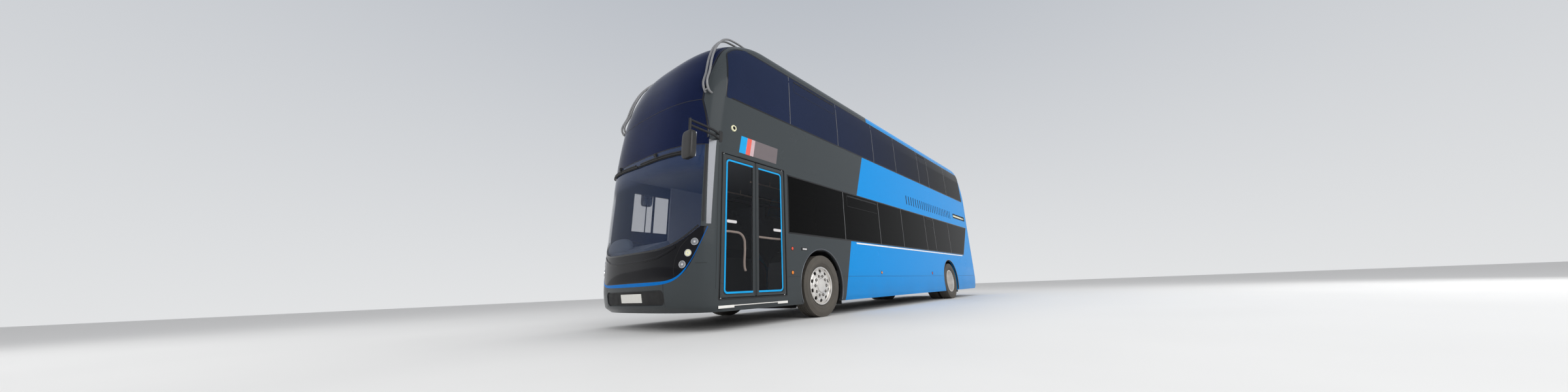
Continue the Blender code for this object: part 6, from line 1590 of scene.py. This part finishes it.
def steeringWheel():
    turn = Matrix.Translation(steering["centre"]) @ Matrix.Rotation(math.radians(-steering["tilt"]), 4, "X")
    R, r = steering["radius"], steering["tube"]
    bm = bmesh.new()
    rings = []
    for step in range(72):
        a = 2 * math.pi * step / 72
        ring = []
        for part in range(14):
            b = 2 * math.pi * part / 14
            thick = r * (1 - 0.05 * (math.cos(a * 24) > 0.6))
            ring.append(bm.verts.new(((R + thick * math.cos(b)) * math.cos(a),
                                      (R + thick * math.cos(b)) * math.sin(a),
                                      thick * math.sin(b))))
        rings.append(ring)
    for step in range(72):
        for part in range(14):
            other = (part + 1) % 14
            bm.faces.new((rings[step][part], rings[(step + 1) % 72][part], rings[(step + 1) % 72][other],
                          rings[step][other]))
    bmesh.ops.recalc_face_normals(bm, faces=bm.faces)
    grip = fromBmesh("steeringGrip", bm, gripRubber)
    softShade(grip.data, 60)
    parts = [grip]
    for angle in (-90, 0, 180):
        a = math.radians(angle)
        spots = [Vector((t * R * math.cos(a), t * R * math.sin(a), -0.006 * (1 - t))) for t in (0.1, 0.4, 0.7,
                                                                                                0.98)]
        parts.append(pipe(f"steeringSpoke{angle}", spots, 0.0095, gripRubber))
    parts.append(lathe("steeringHub", [(0, 0.019), (0.03, 0.018), (0.045, 0.012), (0.05, 0.0), (0.046, -0.018),
                                       (0.025, -0.02),
                                       (0.025, -0.22), (0, -0.22)], gripRubber, 48))
    for part in parts:
        part.data.transform(turn)
    settle(merge("steeringWheel", parts), "rubber", "steering_wheel", body="driver_steering_wheel")


steeringWheel()


def saloonDetails():
    parts = [roundHead("binnacle", (-0.78, -5.49, 1.09), (0.64, 0.17, 0.38), 2.6, dashGrey),
             softBlocks("binnacleGlass", [((-0.98, -5.415, 1.10), (-0.58, -5.403, 1.19))], blackGloss),
             runTree("dashSwitches", "barsInRow", seal, Count=7, Start=(-0.40, -5.385, 1.09), Step=(0.045, 0, 0),
                     Size=(0.030, 0.022, 0.012))]
    settle(merge("dashParts", parts), "trim")
    # grab poles beside the gangways and by the door, then the rails under the ceiling
    poles = [pipe(f"pole{number}", [(x, y, 0.362), (x, y, 2.345)], 0.016, copperRail, False, 4)
             for number, (x, y) in enumerate(((0.335, -1.95), (-0.335, 0.15), (-0.36, -4.02), (0.335, 0.45)))]
    for x in (0.40, -0.40):
        poles.append(pipe(f"ceilingRail{x}", [(x, -3.9, 2.26), (x, 4.6, 2.26)], 0.014, copperRail, False, 4))
        for y in (-3.4, -1.4, 0.6, 2.6, 4.4):
            poles.append(pipe(f"railDrop{x}{y}", [(x, y, 2.26), (x, y, 2.348)], 0.009, copperRail, False))
    settle(merge("grabPoles", poles), "trim")
    steps = []
    for number in range(1, 8):
        y, z = -1.04 - (number - 1) * 0.25, deckFloor["lower"] + number * 0.255
        steps.append(((-1.19, y - 0.022, z), (-0.60, y + 0.004, z + 0.004)))
    settle(softBlocks("stairNosings", steps, nosing, 0.0015), "trim")


saloonDetails()
print("inside furnished")


# Finishes of the solids that stay as they are
def dress(finish, *names):
    for name in names:
        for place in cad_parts[name].material_slots:
            place.material = finish


def twoSided(name, node, top, under, isUnder, slotName):
    # the solid's own shape with a second finish on its hidden faces
    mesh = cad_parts[node].data.copy()
    mesh.transform(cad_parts[node].matrix_world)
    mesh.materials.clear()
    for finish in (top, under):
        mesh.materials.append(finish)
    for face in mesh.polygons:
        face.material_index = int(isUnder(face.center, face.normal))
    settle(putInScene(name, mesh), slotName, node)


def isUnderside(centre, normal):
    inArch = any(abs(centre.y - coach[key]) < 0.615 for key in ("frontAxle",
                                                                "rearAxle")) and abs(centre.x) > 0.716 and centre.z < 1.03
    return normal.z < -0.5 or inArch or centre.z < 0.345


twoSided("lowerFloor", "lower_floor", floorVinyl, underSeal, isUnderside, "floor_vinyl")
twoSided("upperFloor", "upper_floor", floorVinyl, liningPale, lambda centre, normal: normal.z < -0.5, "floor_vinyl")
dress(liningPale, "cab_partition")
dress(trimGrey, "staircase")
dress(dashGrey, "dashboard")
dress(chassisBlack, "chassis_frame")
dress(castIron, "front_axle", "rear_axle", "knuckle_nearside", "knuckle_offside", "track_rod", "engine")

for cutter in spent:
    bpy.data.objects.remove(cutter)
spent.clear()

# Studio
studio = {"floor": (0.74, 0.74, 0.73), "backdrop": (0.76, 0.77, 0.78), "above": (0.46, 0.49, 0.54), "light": 0.62}


def buildStudio():
    bm = bmesh.new()
    bmesh.ops.create_grid(bm, x_segments=1, y_segments=1, size=60)
    floor = fromBmesh("studioFloor", bm)
    finish = grain(newFinish("studioFloorFinish", studio["floor"], 0.7), 0.6, 0.015, (0.62, 0.75), 0)
    floor.data.materials.append(finish)
    floor.location.z = -0.001
    world = bpy.data.worlds.new("studioWorld")
    world.use_nodes = True
    scene.world = world
    tree = world.node_tree
    add = nodeMaker(tree)
    back = tree.nodes["Background"]
    rays = add("LightPath")
    height = add("SeparateXYZ", {0: add("TexCoord").outputs["Generated"]}).outputs[2]
    rise = add("MapRange", {0: height, 1: 0.0, 2: 0.75, 3: 0.0, 4: 1.0})
    backdrop = blend(add, rise, studio["backdrop"], studio["above"])
    seen = rays.outputs["Is Camera Ray"]
    for kind in ("Is Glossy Ray", "Is Transmission Ray"):
        seen = add("Math", {0: seen, 1: rays.outputs[kind]}, operation="MAXIMUM").outputs[0]
    light = tuple(studio["light"] * value for value in (1.0, 1.0, 1.02))
    tree.links.new(blend(add, seen, light, backdrop), back.inputs[0])
    back.inputs[1].default_value = 1.0
    lights = {"key": ((14, -8, 8.5), (0, -2.0, 1.8), 1000, 12.0), "fill": ((-5, -15, 6), (0, -4, 1.8), 420, 7.0),
              "top": ((0, 0, 14), (0, 0.5, 2), 560, 9.0), "side": ((13, 6, 6), (0, 2, 2), 520, 7.0)}
    for name, (spot, aim, power, size) in lights.items():
        lamp = bpy.data.lights.new(name + "Light", "AREA")
        lamp.energy = power
        lamp.size = size
        made = bpy.data.objects.new(name + "Light", lamp)
        made.visible_glossy = name == "key"
        scene.collection.objects.link(made)
        made.location = spot
        made.rotation_euler = (Vector(aim) - Vector(spot)).to_track_quat("-Z", "Y").to_euler()


view = {"spot": (5.078, -8.351, 0.46), "yaw": -38.32, "pitch": 17.31, "roll": -2.37, "lens": 8.703, "sensor": 36.0,
        "shift": (-0.0113, -0.0170)}


def placeCamera():
    yaw, pitch, roll = (math.radians(view[key]) for key in ("yaw", "pitch", "roll"))
    ahead = Vector((math.sin(yaw) * math.cos(pitch), math.cos(yaw) * math.cos(pitch), math.sin(pitch)))
    right = Vector((math.cos(yaw), -math.sin(yaw), 0))
    up = right.cross(ahead)
    across = math.cos(roll) * right + math.sin(roll) * up
    above = -math.sin(roll) * right + math.cos(roll) * up
    made = bpy.data.cameras.new("studioCamera")
    made.lens = view["lens"]
    made.sensor_width = view["sensor"]
    made.sensor_fit = "HORIZONTAL"
    made.shift_x, made.shift_y = view["shift"]
    made.clip_start = 0.05
    holder = bpy.data.objects.new("studioCamera", made)
    scene.collection.objects.link(holder)
    turn = Matrix((across, above, -ahead)).transposed().to_4x4()
    holder.matrix_world = Matrix.Translation(view["spot"]) @ turn
    scene.camera = holder


buildStudio()
placeCamera()
scene.view_settings.view_transform = "Standard"
print("studio set")
